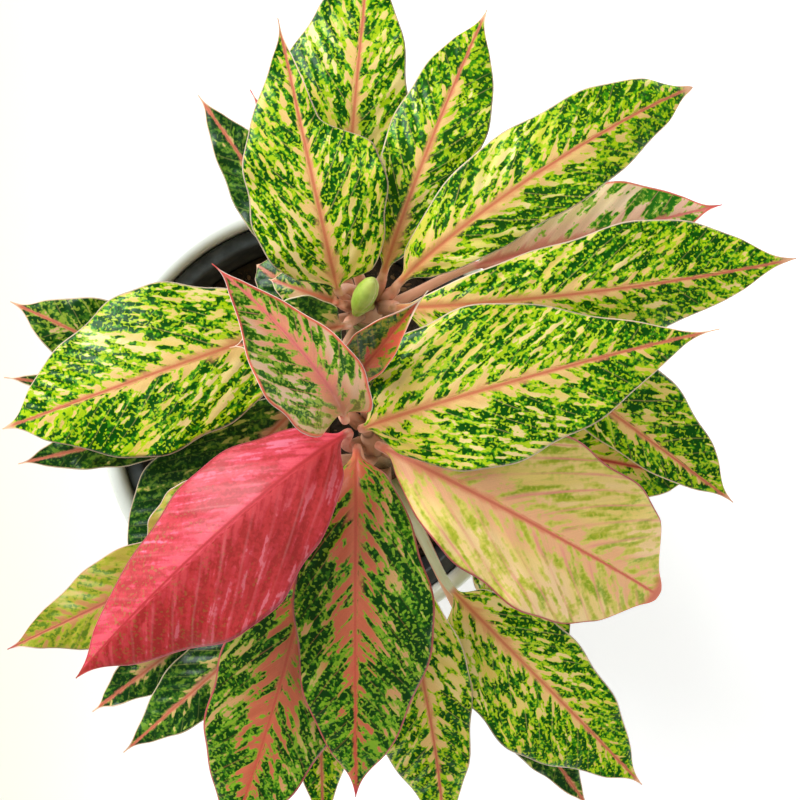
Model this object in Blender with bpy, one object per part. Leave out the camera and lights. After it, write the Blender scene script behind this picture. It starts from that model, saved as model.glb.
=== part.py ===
"""Potted Chinese evergreen: planter, nursery pot, soil, stems, leaves and a flower bud.

Run with: blender --background --python part.py
The origin is the centre of the planter's flat base, +Z is up, and lengths are in metres.
The tables below are in millimetres, and MM turns them into metres.
"""

import math
from dataclasses import dataclass

import bmesh
import bpy
from mathutils import Vector

MM = 0.001
GAP = 0.3
UP = Vector((0.0, 0.0, 1.0))
TURN_STEPS = 40

PLANTER_HEIGHT = 190.0
PLANTER_RIM_RADIUS = 110.0
PLANTER_BAND = 8.6
PLANTER_FOOT_RADIUS = 86.0
PLANTER_FLOOR = 6.0
PLANTER_FLOOR_RADIUS = 79.0
PLANTER_SHOULDER = 165.0
FOOT_ROUND = 2.5

POT_WALL = 1.8
POT_LIP_WIDTH = 8.6
POT_LIP_DROP = 9.0
POT_TOP = 182.0
POT_FOOT_RADIUS = 74.0
DRAIN_HOLES = 5
DRAIN_HOLE_RADIUS = 6.0
DRAIN_CIRCLE_RADIUS = 52.0
DRAIN_SIDES = 10

SOIL_EDGE_HEIGHT = 157.0
SOIL_MIDDLE_HEIGHT = 163.0
STEM_SIDES = 10
STEM_BURIED = 22.0
SOCKET_PLAY = 0.35

PETIOLE_FOOT_RADIUS = 2.9
PETIOLE_NECK_RADIUS = 1.9
PETIOLE_LEAN = 24.0
PETIOLE_RINGS = 5
BLADE_RINGS = 11
BLADE_THICKNESS = 1.2
RIB_DEPTH = 2.2
HANDLE = 0.35
FOOT_HANDLE = 0.4
NECK_HANDLE = 0.24
OUTWARD_SHARE = 0.12
NECK_SHARE = 0.07

# Each tone is the base colour of a blade or a made surface, its roughness and its metallic value.
TONES = {
    "planter": ((0.82, 0.81, 0.76), 0.42, 0.0),
    "nursery": ((0.035, 0.038, 0.042), 0.38, 0.0),
    "soil": ((0.030, 0.021, 0.014), 0.95, 0.0),
    "bark": ((0.105, 0.060, 0.040), 0.70, 0.0),
    "bud": ((0.40, 0.55, 0.10), 0.40, 0.0),
    "cream": ((0.30, 0.42, 0.08), 0.34, 0.0),
    "deep": ((0.035, 0.130, 0.020), 0.30, 0.0),
    "rose": ((0.20, 0.22, 0.08), 0.30, 0.0),
    "red": ((0.62, 0.085, 0.10), 0.38, 0.0),
    "peach": ((0.68, 0.50, 0.20), 0.40, 0.0),
    "olive": ((0.35, 0.38, 0.06), 0.42, 0.0),
    "pink": ((0.62, 0.30, 0.24), 0.36, 0.0),
}


@dataclass(frozen=True)
class Stem:
    """A cane: where it enters the soil, where its top is, and its radius."""

    name: str
    entry: tuple
    top: tuple
    radius: float


@dataclass(frozen=True)
class Leaf:
    """A petiole and its blade.

    foot is the height at which the petiole leaves its stem. base and tip are the ends of the
    midrib. rise and droop are the midrib's slopes there, in degrees, and sweep bows it to its
    left. left and right are each half's width and the angle at which it stands above level.
    belly is the widest place along the blade, later by skew on the left half and sooner by it
    on the right, and point makes the tip longer.
    """

    name: str
    stem: str
    foot: float
    base: tuple
    tip: tuple
    rise: float = 40.0
    droop: float = 20.0
    sweep: float = 0.0
    left: tuple = (30.0, -6.0)
    right: tuple = (30.0, -6.0)
    arc: float = 0.12
    belly: float = 0.40
    skew: float = 0.0
    point: float = 1.15
    tone: str = "cream"


STEMS = {
    "back": Stem("stem_back", (20, 44), (26, 54, 246), 7.2),
    "front": Stem("stem_front", (44, -44), (24, -5, 258), 7.2),
    "left": Stem("stem_left", (-34, 24), (-26, 30, 208), 6.2),
    "corner": Stem("stem_corner", (-22, -36), (-16, -26, 206), 6.2),
    "right": Stem("stem_right", (66, 4), (62, 8, 212), 5.8),
}

LEAVES = [
    # The front crown, highest of all, from its youngest leaf outward.
    Leaf("leaf_cupped_top", "front", 254, (15, 3, 344), (-40, 67, 386), rise=62, droop=-12,
         sweep=-6, left=(31, 40), right=(22, 40), arc=-0.22, belly=0.37, skew=0.05, point=1.5,
         tone="pink"),
    Leaf("leaf_furled", "front", 252, (20, 19, 332), (52, 56, 372), rise=62, droop=-40,
         left=(16, 38), right=(9, 30), arc=-0.1, belly=0.34, point=1.9, tone="rose"),
    Leaf("leaf_red", "front", 246, (14, -7, 322), (-109, -119, 298), rise=52, droop=28,
         sweep=-7, left=(42, -10), right=(31, -32), belly=0.46, skew=0.04, tone="red"),
    Leaf("leaf_right_upper", "front", 248, (25, -3, 325), (184, 41, 318), rise=52, droop=20,
         sweep=3, left=(37, -2), right=(35, -8), belly=0.38, skew=-0.04, point=1.6),
    Leaf("leaf_peach", "front", 240, (33, -13, 304), (163, -84, 257), rise=40, droop=42,
         sweep=3, left=(43, -6), right=(38, -8), belly=0.58, point=0.48, tone="peach"),
    Leaf("leaf_front_pink", "front", 238, (20, -15, 292), (19, -180, 256), rise=46, droop=32,
         left=(36, -8), right=(29, -8), belly=0.50, tone="rose"),
    Leaf("leaf_front_right", "front", 224, (38, -71, 262), (62, -208, 212), rise=30, droop=30,
         sweep=5, left=(22, -6), right=(29, -6), belly=0.42),
    Leaf("leaf_corner_right", "front", 210, (66, -83, 244), (159, -180, 214), rise=32, droop=30,
         sweep=1, left=(25, -6), right=(35, -6), belly=0.44),
    Leaf("leaf_olive_flap", "front", 226, (-37, -27, 274), (-81, -69, 264), rise=34, droop=30,
         left=(12, -10), right=(17, -10), belly=0.5, tone="olive"),
    Leaf("leaf_low_front", "front", 186, (84, -122, 206), (134, -194, 194), rise=10, droop=22,
         left=(14, -6), right=(14, -6), tone="deep"),
    # The back crown.
    Leaf("leaf_back_left", "back", 240, (11, 61, 298), (-15, 181, 322), rise=56, droop=-2,
         left=(32, -4), right=(32, 4), belly=0.40, point=1.4),
    Leaf("leaf_back", "back", 226, (14, 90, 272), (26, 222, 272), rise=34, droop=24,
         left=(36, -6), right=(25, -6), belly=0.44),
    Leaf("leaf_back_narrow", "back", 243, (33, 69, 294), (80, 188, 300), rise=42, droop=10,
         sweep=2, left=(20, -4), right=(23, -8), belly=0.54),
    Leaf("leaf_back_right", "back", 237, (41, 64, 300), (176, 154, 286), rise=46, droop=42,
         sweep=7, left=(24, -4), right=(22, -16), belly=0.50, point=0.75),
    Leaf("leaf_right_long", "back", 242, (40, 51, 304), (225, 75, 280), rise=48, droop=18,
         sweep=-6, left=(29, 0), right=(30, -24), belly=0.53, skew=0.09),
    Leaf("leaf_pink_right", "back", 212, (77, 73, 258), (192, 101, 266), rise=22, droop=6,
         left=(27, -4), right=(20, -4), tone="pink"),
    Leaf("leaf_curled", "back", 240, (13, 43, 290), (-38, 33, 300), rise=44, droop=6,
         left=(12, 24), right=(18, 24), point=1.5, tone="deep"),
    Leaf("leaf_inner", "back", 228, (10, 55, 264), (-22, 66, 262), rise=36, droop=30,
         left=(12, -6), right=(15, -6)),
    Leaf("leaf_left_broad", "back", 216, (-11, 44, 262), (-150, -5, 250), rise=34, droop=24,
         left=(38, -6), right=(40, -6), belly=0.46),
    Leaf("leaf_back_dark", "back", 207, (2, 70, 246), (-56, 154, 256), rise=30, droop=8,
         left=(16, -8), right=(17, -8), tone="deep"),
    Leaf("leaf_back_sliver", "back", 184, (6, 88, 258), (-30, 154, 276), rise=26, droop=0,
         left=(8, -6), right=(8, -6), tone="pink"),
    Leaf("leaf_left_shaded", "back", 196, (-4, 11, 228), (-97, -80, 220), rise=14, droop=16,
         left=(15, -6), right=(32, -6), belly=0.46, skew=-0.06, tone="deep"),
    # The low left stem.
    Leaf("leaf_left_back", "left", 200, (-50, 12, 234), (-146, 56, 250), rise=26, droop=4,
         left=(25, -4), right=(25, -4)),
    Leaf("leaf_left_low", "left", 194, (-60, -2, 218), (-145, -22, 230), rise=24, droop=10,
         left=(13, -4), right=(15, -4), tone="deep"),
    Leaf("leaf_left_sliver", "left", 186, (-84, 12, 208), (-153, 20, 222), rise=18, droop=4,
         left=(7, -4), right=(7, -4), tone="deep"),
    Leaf("leaf_pot_round", "left", 186, (-8, 60, 206), (-31, 76, 202), rise=20, droop=30,
         left=(14, -4), right=(14, -4), point=0.7, tone="deep"),
    # The low corner stem.
    Leaf("leaf_front_left", "corner", 198, (-2, -66, 258), (-45, -210, 222), rise=34, droop=28,
         sweep=4, left=(32, -6), right=(32, -6), belly=0.46, tone="rose"),
    Leaf("leaf_olive", "corner", 194, (-42, -59, 250), (-149, -111, 240), rise=30, droop=22,
         left=(24, -6), right=(20, -6), tone="olive"),
    Leaf("leaf_corner_dark", "corner", 187, (-17, -93, 236), (-95, -163, 222), rise=26, droop=20,
         left=(18, -8), right=(18, -8), tone="deep"),
    Leaf("leaf_corner_small", "corner", 174, (-49, -96, 222), (-111, -144, 214), rise=20,
         droop=16, left=(14, -6), right=(14, -6), tone="deep"),
    Leaf("leaf_front_small", "corner", 176, (0, -98, 216), (2, -205, 198), rise=24, droop=18,
         left=(17, -6), right=(17, -6)),
    # The low right stem.
    Leaf("leaf_right_low", "right", 204, (90, 38, 266), (199, -40, 252), rise=26, droop=26,
         left=(29, -6), right=(14, -6), belly=0.5),
    Leaf("leaf_right_folded", "right", 198, (87, -10, 242), (184, -29, 238), rise=24, droop=14,
         left=(15, 20), right=(20, -6), belly=0.55, tone="rose"),
    Leaf("leaf_under_peach", "right", 192, (78, -60, 220), (124, -112, 220), rise=24, droop=14,
         left=(18, -6), right=(17, -6), point=0.8),
]


def clear_scene():
    """Remove the objects of the opening scene."""
    for obj in list(bpy.data.objects):
        bpy.data.objects.remove(obj, do_unlink=True)


def make_material(name, tone):
    """Make one plain material in a tone's colour."""
    colour, roughness, metallic = TONES[tone]
    material = bpy.data.materials.new(name)
    material.use_nodes = True
    shader = material.node_tree.nodes["Principled BSDF"]
    shader.inputs["Base Color"].default_value = (*colour, 1.0)
    shader.inputs["Roughness"].default_value = roughness
    shader.inputs["Metallic"].default_value = metallic
    return material


def add_solid(name, bm, tone):
    """Turn a bmesh into a named, smooth-shaded object with its own material."""
    bmesh.ops.recalc_face_normals(bm, faces=bm.faces)
    mesh = bpy.data.meshes.new(name)
    bm.to_mesh(mesh)
    bm.free()
    mesh.shade_smooth()
    mesh.set_sharp_from_angle(angle=math.radians(40.0))
    mesh.materials.append(make_material(name + "_finish", tone))
    obj = bpy.data.objects.new(name, mesh)
    bpy.context.scene.collection.objects.link(obj)
    return obj


def arc(centre, radius, first, last, steps):
    """List the points of an arc in the profile plane, with its angles in degrees."""
    points = []
    for step in range(steps + 1):
        angle = math.radians(first + (last - first) * step / steps)
        points.append((centre[0] + radius * math.cos(angle), centre[1] + radius * math.sin(angle)))
    return points


def turn(name, profile, tone):
    """Spin a profile of radius and height around the upright axis."""
    bm = bmesh.new()
    verts = [bm.verts.new((radius * MM, 0.0, height * MM)) for radius, height in profile]
    edges = [bm.edges.new(pair) for pair in zip(verts, verts[1:])]
    bmesh.ops.spin(
        bm, geom=verts + edges, cent=(0, 0, 0), axis=(0, 0, 1), angle=2.0 * math.pi,
        steps=TURN_STEPS, use_merge=True,
    )
    bmesh.ops.remove_doubles(bm, verts=bm.verts, dist=0.01 * MM)
    return add_solid(name, bm, tone)


def skin(rings, tip=None):
    """Close a stack of equal rings into one solid that ends in a face, or in a tip point.

    Each quad is split so that the two sides of a thin blade share the same diagonals.
    """
    bm = bmesh.new()
    loops = [[bm.verts.new(point * MM) for point in ring] for ring in rings]
    count = len(rings[0])
    for lower, upper in zip(loops, loops[1:]):
        for i in range(count):
            j = (i + 1) % count
            if i < count // 2:
                bm.faces.new((lower[i], lower[j], upper[j]))
                bm.faces.new((lower[i], upper[j], upper[i]))
            else:
                bm.faces.new((lower[i], lower[j], upper[i]))
                bm.faces.new((lower[j], upper[j], upper[i]))
    bm.faces.new(list(reversed(loops[0])))
    if tip is None:
        bm.faces.new(loops[-1])
    else:
        end = bm.verts.new(tip * MM)
        for i in range(count):
            bm.faces.new((loops[-1][i], loops[-1][(i + 1) % count], end))
    return bm


def curve_point(handles, t):
    """Read a cubic curve at t."""
    a, b, c, d = handles
    s = 1.0 - t
    return a * s**3 + b * (3.0 * s * s * t) + c * (3.0 * s * t * t) + d * t**3


def curve_direction(handles, t):
    """Read the unit direction of a cubic curve at t."""
    a, b, c, d = handles
    s = 1.0 - t
    return ((b - a) * (s * s) + (c - b) * (2.0 * s * t) + (d - c) * (t * t)).normalized()


def planter_inner_radius(height):
    """Radius of the planter's inner wall at a height: a cone, upright above its shoulder."""
    lip_radius = PLANTER_RIM_RADIUS - PLANTER_BAND
    share = min((height - PLANTER_FLOOR) / (PLANTER_SHOULDER - PLANTER_FLOOR), 1.0)
    return PLANTER_FLOOR_RADIUS + (lip_radius - PLANTER_FLOOR_RADIUS) * share


def pot_inner_radius(height):
    """Radius of the nursery pot's inner wall at a height."""
    lip_outer = PLANTER_RIM_RADIUS - PLANTER_BAND - 2.0 * GAP
    top_radius = lip_outer - POT_LIP_WIDTH - POT_WALL / 2.0
    foot_radius = POT_FOOT_RADIUS - POT_WALL
    share = (height - PLANTER_FLOOR) / (POT_TOP - PLANTER_FLOOR)
    return foot_radius + (top_radius - foot_radius) * share


def build_planter():
    """Turn the pale outer planter, with a rounded rim and a closed flat base."""
    rim = PLANTER_BAND / 2.0
    rim_centre = (PLANTER_RIM_RADIUS - rim, PLANTER_HEIGHT - rim)
    foot_centre = (PLANTER_FOOT_RADIUS - FOOT_ROUND, FOOT_ROUND)
    profile = [(0.0, PLANTER_FLOOR), (PLANTER_FLOOR_RADIUS - 6.0, PLANTER_FLOOR)]
    profile.append((planter_inner_radius(PLANTER_FLOOR + 6.0), PLANTER_FLOOR + 6.0))
    profile.append((planter_inner_radius(PLANTER_SHOULDER), PLANTER_SHOULDER))
    profile += arc(rim_centre, rim, 180.0, 0.0, 6)
    profile += arc(foot_centre, FOOT_ROUND, 0.0, -90.0, 2)
    profile.append((0.0, 0.0))
    turn("planter", profile, "planter")


def build_nursery_pot():
    """Turn the thin dark pot that stands inside the planter, and drill its drainage holes."""
    floor = PLANTER_FLOOR + GAP
    lip_outer = PLANTER_RIM_RADIUS - PLANTER_BAND - 2.0 * GAP
    lip_bottom = POT_TOP - POT_LIP_DROP
    shoulder = POT_TOP - POT_WALL
    profile = [
        (0.0, floor + POT_WALL),
        (pot_inner_radius(floor) - 2.0, floor + POT_WALL),
        (pot_inner_radius(floor + 4.0), floor + 4.0),
        (pot_inner_radius(POT_TOP - 4.0), POT_TOP - 4.0),
        (pot_inner_radius(POT_TOP) + 1.2, POT_TOP - 0.8),
        (pot_inner_radius(POT_TOP) + 3.6, POT_TOP),
        (lip_outer - 2.6, POT_TOP),
        (lip_outer - 0.6, POT_TOP - 0.9),
        (lip_outer, POT_TOP - 3.0),
        (lip_outer - 0.7, lip_bottom),
        (lip_outer - 0.7 - POT_WALL, lip_bottom),
        (lip_outer - 0.4 - POT_WALL, shoulder - 1.0),
        (pot_inner_radius(shoulder) + POT_WALL + 1.2, shoulder),
        (pot_inner_radius(shoulder - 3.0) + POT_WALL, shoulder - 3.0),
        (POT_FOOT_RADIUS, floor + 3.0),
        (POT_FOOT_RADIUS - 2.0, floor),
        (0.0, floor),
    ]
    pot = turn("nursery_pot", profile, "nursery")
    for hole in range(DRAIN_HOLES):
        angle = 2.0 * math.pi * hole / DRAIN_HOLES
        centre = Vector((math.cos(angle), math.sin(angle), 0.0)) * DRAIN_CIRCLE_RADIUS
        bottom = centre + UP * (floor - 5.0)
        top = centre + UP * (floor + POT_WALL + 5.0)
        rings = [round_ring(p, UP, DRAIN_HOLE_RADIUS, DRAIN_SIDES) for p in (bottom, top)]
        cut(pot, add_cutter(f"drain_hole_cutter_{hole}", skin(rings)))


def add_cutter(name, bm):
    """Keep a bmesh as a hidden wire object that only cuts."""
    cutter = add_solid(name, bm, "soil")
    cutter.hide_render = True
    cutter.display_type = "WIRE"
    return cutter


def cut(obj, cutter):
    """Subtract a cutter from an object."""
    modifier = obj.modifiers.new(cutter.name, "BOOLEAN")
    modifier.operation = "DIFFERENCE"
    modifier.solver = "EXACT"
    modifier.object = cutter


def round_ring(centre, direction, radius, sides):
    """List the points of a circle around a direction."""
    across = direction.cross(Vector((0.0, 1.0, 0.0))).normalized()
    along = direction.cross(across).normalized()
    ring = []
    for side in range(sides):
        angle = 2.0 * math.pi * side / sides
        ring.append(centre + across * (radius * math.cos(angle)) + along * (radius * math.sin(angle)))
    return ring


def stem_axis(stem):
    """Give a stem's buried end and its top."""
    entry = Vector((*stem.entry, SOIL_MIDDLE_HEIGHT))
    top = Vector(stem.top)
    direction = (top - entry).normalized()
    return entry - direction * STEM_BURIED, top


def stem_point(stem, height):
    """Point on a stem's axis at a height."""
    bottom, top = stem_axis(stem)
    return bottom.lerp(top, (height - bottom.z) / (top.z - bottom.z))


def build_stem(stem):
    """Skin a cane whose leaf scars stand out as slightly thicker rings."""
    bottom, top = stem_axis(stem)
    direction = (top - bottom).normalized()
    rings = []
    scars = 5
    for step in range(2 * scars + 1):
        share = step / (2 * scars)
        radius = stem.radius * (1.0 if step % 2 else 0.92) * (1.0 - 0.18 * share)
        rings.append(round_ring(bottom.lerp(top, share), direction, radius, STEM_SIDES))
    tip = top + direction * (stem.radius * 0.5)
    add_solid(stem.name, skin(rings, tip), "bark")


def build_soil():
    """Turn the potting soil to fill the nursery pot, with a socket for each stem."""
    floor = PLANTER_FLOOR + GAP + POT_WALL + GAP
    play = 2.0 * GAP
    profile = [
        (0.0, SOIL_MIDDLE_HEIGHT),
        (pot_inner_radius(SOIL_EDGE_HEIGHT) * 0.6, SOIL_MIDDLE_HEIGHT - 1.5),
        (pot_inner_radius(SOIL_EDGE_HEIGHT) - play - 5.0, SOIL_EDGE_HEIGHT + 1.0),
        (pot_inner_radius(SOIL_EDGE_HEIGHT) - play, SOIL_EDGE_HEIGHT - 2.0),
        (pot_inner_radius(floor + 6.0) - play, floor + 6.0),
        (pot_inner_radius(floor) - 3.0 - play, floor),
        (0.0, floor),
    ]
    soil = turn("soil", profile, "soil")
    for stem in STEMS.values():
        bottom, top = stem_axis(stem)
        direction = (top - bottom).normalized()
        ends = (bottom - direction * GAP, stem_point(stem, SOIL_MIDDLE_HEIGHT + 12.0))
        radius = stem.radius + SOCKET_PLAY
        rings = [round_ring(end, direction, radius, STEM_SIDES) for end in ends]
        cut(soil, add_cutter(f"{stem.name}_socket_cutter", skin(rings)))


def blade_handles(leaf):
    """Work out the cubic curve of a leaf's midrib."""
    base = Vector(leaf.base)
    tip = Vector(leaf.tip)
    length = (tip - base).length
    heading = Vector((tip.x - base.x, tip.y - base.y, 0.0)).normalized()
    side = UP.cross(heading)
    rise = math.radians(leaf.rise)
    droop = math.radians(leaf.droop)
    reach = HANDLE * length
    start = base + (heading * math.cos(rise) + UP * math.sin(rise)) * reach + side * leaf.sweep
    end = tip - (heading * math.cos(droop) - UP * math.sin(droop)) * reach + side * leaf.sweep
    return base, start, end, tip


def petiole_handles(leaf):
    """Work out the cubic curve of a petiole from its stem's side to the blade's base."""
    base, start, _, tip = blade_handles(leaf)
    stem = STEMS[leaf.stem]
    axis_point = stem_point(stem, leaf.foot)
    outward = base.lerp(tip, OUTWARD_SHARE) - axis_point
    outward.z = 0.0
    outward.normalize()
    lean = math.radians(PETIOLE_LEAN)
    first = axis_point + outward * (stem.radius + GAP + PETIOLE_FOOT_RADIUS)
    span = (base - first).length
    second = first + (UP * math.cos(lean) + outward * math.sin(lean)) * (FOOT_HANDLE * span)
    third = base - (start - base).normalized() * (NECK_HANDLE * span)
    return first, second, third, base


def half_width_share(leaf, u, v):
    """Share of a half's full width at u along the blade, from 0 at each end to 1 at the belly."""
    belly = leaf.belly + (leaf.skew if v > 0 else -leaf.skew)
    bend = math.log(0.5) / math.log(belly)
    swell = max(math.sin(math.pi * u**bend), 0.0)
    return swell ** (0.62 + (leaf.point - 0.62) * u)


def blade_ring(leaf, centre, direction, across, u):
    """List the eight points of a blade's cross-section: five above and three below."""
    normal = direction.cross(across)
    neck = max(1.0 - u / NECK_SHARE, 0.0)
    thickness = BLADE_THICKNESS * (1.0 - 0.55 * u)
    rib = RIB_DEPTH * (1.0 - 0.7 * u)
    ring = []
    for v, is_top in ((-1, 1), (-0.5, 1), (0, 1), (0.5, 1), (1, 1), (0.5, 0), (0, 0), (-0.5, 0)):
        width, angle = leaf.left if v > 0 else leaf.right
        tilt = math.radians(angle)
        reach = max(width * half_width_share(leaf, u, v), PETIOLE_NECK_RADIUS)
        out = abs(v)
        flat = reach * out * math.cos(tilt)
        lift = reach * (out * math.sin(tilt) + leaf.arc * (out - out * out))
        depth = 0.0 if is_top or out == 1 else (thickness if out else max(rib, thickness))
        blade = centre + across * math.copysign(flat, v) + normal * (lift - depth + thickness / 2.0)
        around = math.pi * (0.5 + 0.5 * v) if is_top else math.pi * (1.5 - 0.5 * v)
        rounded = centre - across * (PETIOLE_NECK_RADIUS * math.cos(around))
        rounded += normal * (PETIOLE_NECK_RADIUS * math.sin(around))
        ring.append(blade.lerp(rounded, neck))
    return ring


def petiole_ring(centre, direction, across, radius):
    """List the eight points of a petiole's round cross-section, in the blade's order."""
    normal = direction.cross(across)
    ring = []
    for side in range(8):
        angle = math.pi * side / 4.0
        ring.append(centre - across * (radius * math.cos(angle)) + normal * (radius * math.sin(angle)))
    return ring


def build_leaf(leaf):
    """Skin one leaf from its petiole's foot to its drip tip."""
    blade = blade_handles(leaf)
    petiole = petiole_handles(leaf)
    rings = []
    for step in range(BLADE_RINGS):
        u = 0.97 * (step / (BLADE_RINGS - 1)) ** 1.15
        direction = curve_direction(blade, u)
        across = UP.cross(direction).normalized()
        rings.append(blade_ring(leaf, curve_point(blade, u), direction, across, u))
    across = UP.cross(curve_direction(blade, 0.0)).normalized()
    for step in reversed(range(PETIOLE_RINGS)):
        t = step / PETIOLE_RINGS
        direction = curve_direction(petiole, t)
        across = (across - direction * across.dot(direction)).normalized()
        radius = PETIOLE_FOOT_RADIUS + (PETIOLE_NECK_RADIUS - PETIOLE_FOOT_RADIUS) * t
        rings.insert(0, petiole_ring(curve_point(petiole, t), direction, across, radius))
    add_solid(leaf.name, skin(rings, curve_point(blade, 1.0)), leaf.tone)


def build_bud():
    """Skin the flower stalk and the rolled spathe that it carries."""
    stem = STEMS["back"]
    _, top = stem_axis(stem)
    foot = top + Vector((0.0, 0.0, stem.radius * 0.5 + 1.0))
    neck = Vector((20.0, 50.5, 290.0))
    end = Vector((28.0, 63.0, 320.0))
    stalk = (foot, foot.lerp(neck, 0.4) + Vector((1.0, 1.0, 4.0)), neck - Vector((1.5, 3.0, 10.0)), neck)
    rings = []
    for step in range(4):
        t = step / 4.0
        rings.append(round_ring(curve_point(stalk, t), curve_direction(stalk, t), 2.1, STEM_SIDES))
    direction = (end - neck).normalized()
    for share, radius in ((0.0, 2.1), (0.1, 3.4), (0.25, 4.7), (0.45, 5.3), (0.65, 5.0), (0.82, 3.8), (0.94, 2.0)):
        rings.append(round_ring(neck.lerp(end, share), direction, radius, STEM_SIDES))
    add_solid("flower_bud", skin(rings, end), "bud")


def main():
    """Build every piece of the potted plant."""
    clear_scene()
    build_planter()
    build_nursery_pot()
    build_soil()
    for stem in STEMS.values():
        build_stem(stem)
    build_bud()
    for leaf in LEAVES:
        build_leaf(leaf)


main()
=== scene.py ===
"""Finished looks of a potted Chinese evergreen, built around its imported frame.

The frame gives every part its place. Each leaf, cane and pot is rebuilt as a finer mesh over
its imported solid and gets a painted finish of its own. The leaf and cane tables are in
millimetres, and MM turns them into metres.
"""

import logging
import math
from dataclasses import dataclass, replace
from enum import Enum
from typing import Mapping, Sequence, Union

import bmesh
import bpy
import numpy as np
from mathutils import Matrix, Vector, noise as smooth_noise


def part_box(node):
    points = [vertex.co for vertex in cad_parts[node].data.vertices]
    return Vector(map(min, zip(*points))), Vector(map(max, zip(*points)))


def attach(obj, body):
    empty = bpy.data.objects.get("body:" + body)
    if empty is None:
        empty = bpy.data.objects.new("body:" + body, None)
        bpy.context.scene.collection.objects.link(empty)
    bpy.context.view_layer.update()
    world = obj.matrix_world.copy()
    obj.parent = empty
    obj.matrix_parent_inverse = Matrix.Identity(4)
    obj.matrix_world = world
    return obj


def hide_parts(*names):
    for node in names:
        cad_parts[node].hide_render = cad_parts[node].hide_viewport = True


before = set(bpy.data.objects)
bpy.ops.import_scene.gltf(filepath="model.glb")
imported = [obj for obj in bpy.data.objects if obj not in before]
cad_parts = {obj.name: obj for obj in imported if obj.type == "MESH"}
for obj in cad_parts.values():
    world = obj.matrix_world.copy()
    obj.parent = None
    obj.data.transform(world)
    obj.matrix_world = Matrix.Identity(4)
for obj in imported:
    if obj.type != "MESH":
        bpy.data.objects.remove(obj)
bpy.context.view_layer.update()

LOG = logging.getLogger("evergreen")
MM = 0.001
GAP = 0.3
UP = np.array((0.0, 0.0, 1.0))
BODY = "root"

Colour = tuple[float, float, float, float]
Pair = tuple[float, float]
Triple = tuple[float, float, float]


def paint(red: int, green: int, blue: int) -> Colour:
    """Turn a paint-card colour of 0 to 255 into linear light.

    Args:
        red: The card's red.
        green: The card's green.
        blue: The card's blue.

    Returns:
        The linear colour with full alpha.
    """
    linear = []
    for part in (red, green, blue):
        share = part / 255.0
        low = share <= 0.04045
        linear.append(share / 12.92 if low else ((share + 0.055) / 1.055) ** 2.4)
    return (linear[0], linear[1], linear[2], 1.0)


def ease(values: np.ndarray, low: float, high: float) -> np.ndarray:
    """Rise smoothly from 0 at low to 1 at high.

    Args:
        values: Where to read the rise.
        low: Where it starts.
        high: Where it ends.

    Returns:
        Shares from 0 to 1.
    """
    share = np.clip((values - low) / (high - low), 0.0, 1.0)
    return share * share * (3.0 - 2.0 * share)


class Wire:
    """A socket that adds Math nodes as it is combined with others or with numbers."""

    def __init__(self, bench: "Bench", socket: bpy.types.NodeSocket) -> None:
        """Keep the socket and the bench that it belongs to."""
        self.bench = bench
        self.socket = socket

    def _maths(self, operation: str, *values: "Input") -> "Wire":
        """Add one Math node.

        Args:
            operation: The node's operation.
            values: What goes into its sockets.

        Returns:
            The result.
        """
        settings = {"operation": operation}
        return self.bench.node("ShaderNodeMath", settings, dict(enumerate(values)))

    def __add__(self, other: "Input") -> "Wire":
        """Add."""
        return self._maths("ADD", self, other)

    __radd__ = __add__

    def __sub__(self, other: "Input") -> "Wire":
        """Subtract other."""
        return self._maths("SUBTRACT", self, other)

    def __rsub__(self, other: "Input") -> "Wire":
        """Subtract from other."""
        return self._maths("SUBTRACT", other, self)

    def __mul__(self, other: "Input") -> "Wire":
        """Multiply."""
        return self._maths("MULTIPLY", self, other)

    __rmul__ = __mul__

    def __truediv__(self, other: "Input") -> "Wire":
        """Divide by other."""
        return self._maths("DIVIDE", self, other)

    def __abs__(self) -> "Wire":
        """Drop the sign."""
        return self._maths("ABSOLUTE", self)

    def fraction(self) -> "Wire":
        """Keep what is left over a whole number."""
        return self._maths("FRACT", self)

    def most(self, other: "Input") -> "Wire":
        """Keep the greater of two."""
        return self._maths("MAXIMUM", self, other)

    def ramp(self, low: "Input", high: "Input") -> "Wire":
        """Rise smoothly from 0 at low to 1 at high.

        Args:
            low: Where the rise starts.
            high: Where it ends.

        Returns:
            The rise.
        """
        settings = {"interpolation_type": "SMOOTHSTEP"}
        sockets = {"Value": self, "From Min": low, "From Max": high}
        return self.bench.node("ShaderNodeMapRange", settings, sockets)

    def parts(self) -> tuple["Wire", "Wire", "Wire"]:
        """Split a vector into its three numbers."""
        first = self.bench.node("ShaderNodeSeparateXYZ", {}, {0: self})
        outputs = first.socket.node.outputs
        return first, Wire(self.bench, outputs[1]), Wire(self.bench, outputs[2])


Input = Union[Wire, float, Sequence[float]]


class Blend(Enum):
    """How one colour is laid over another."""

    COVER = "MIX"
    MULTIPLY = "MULTIPLY"


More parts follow.
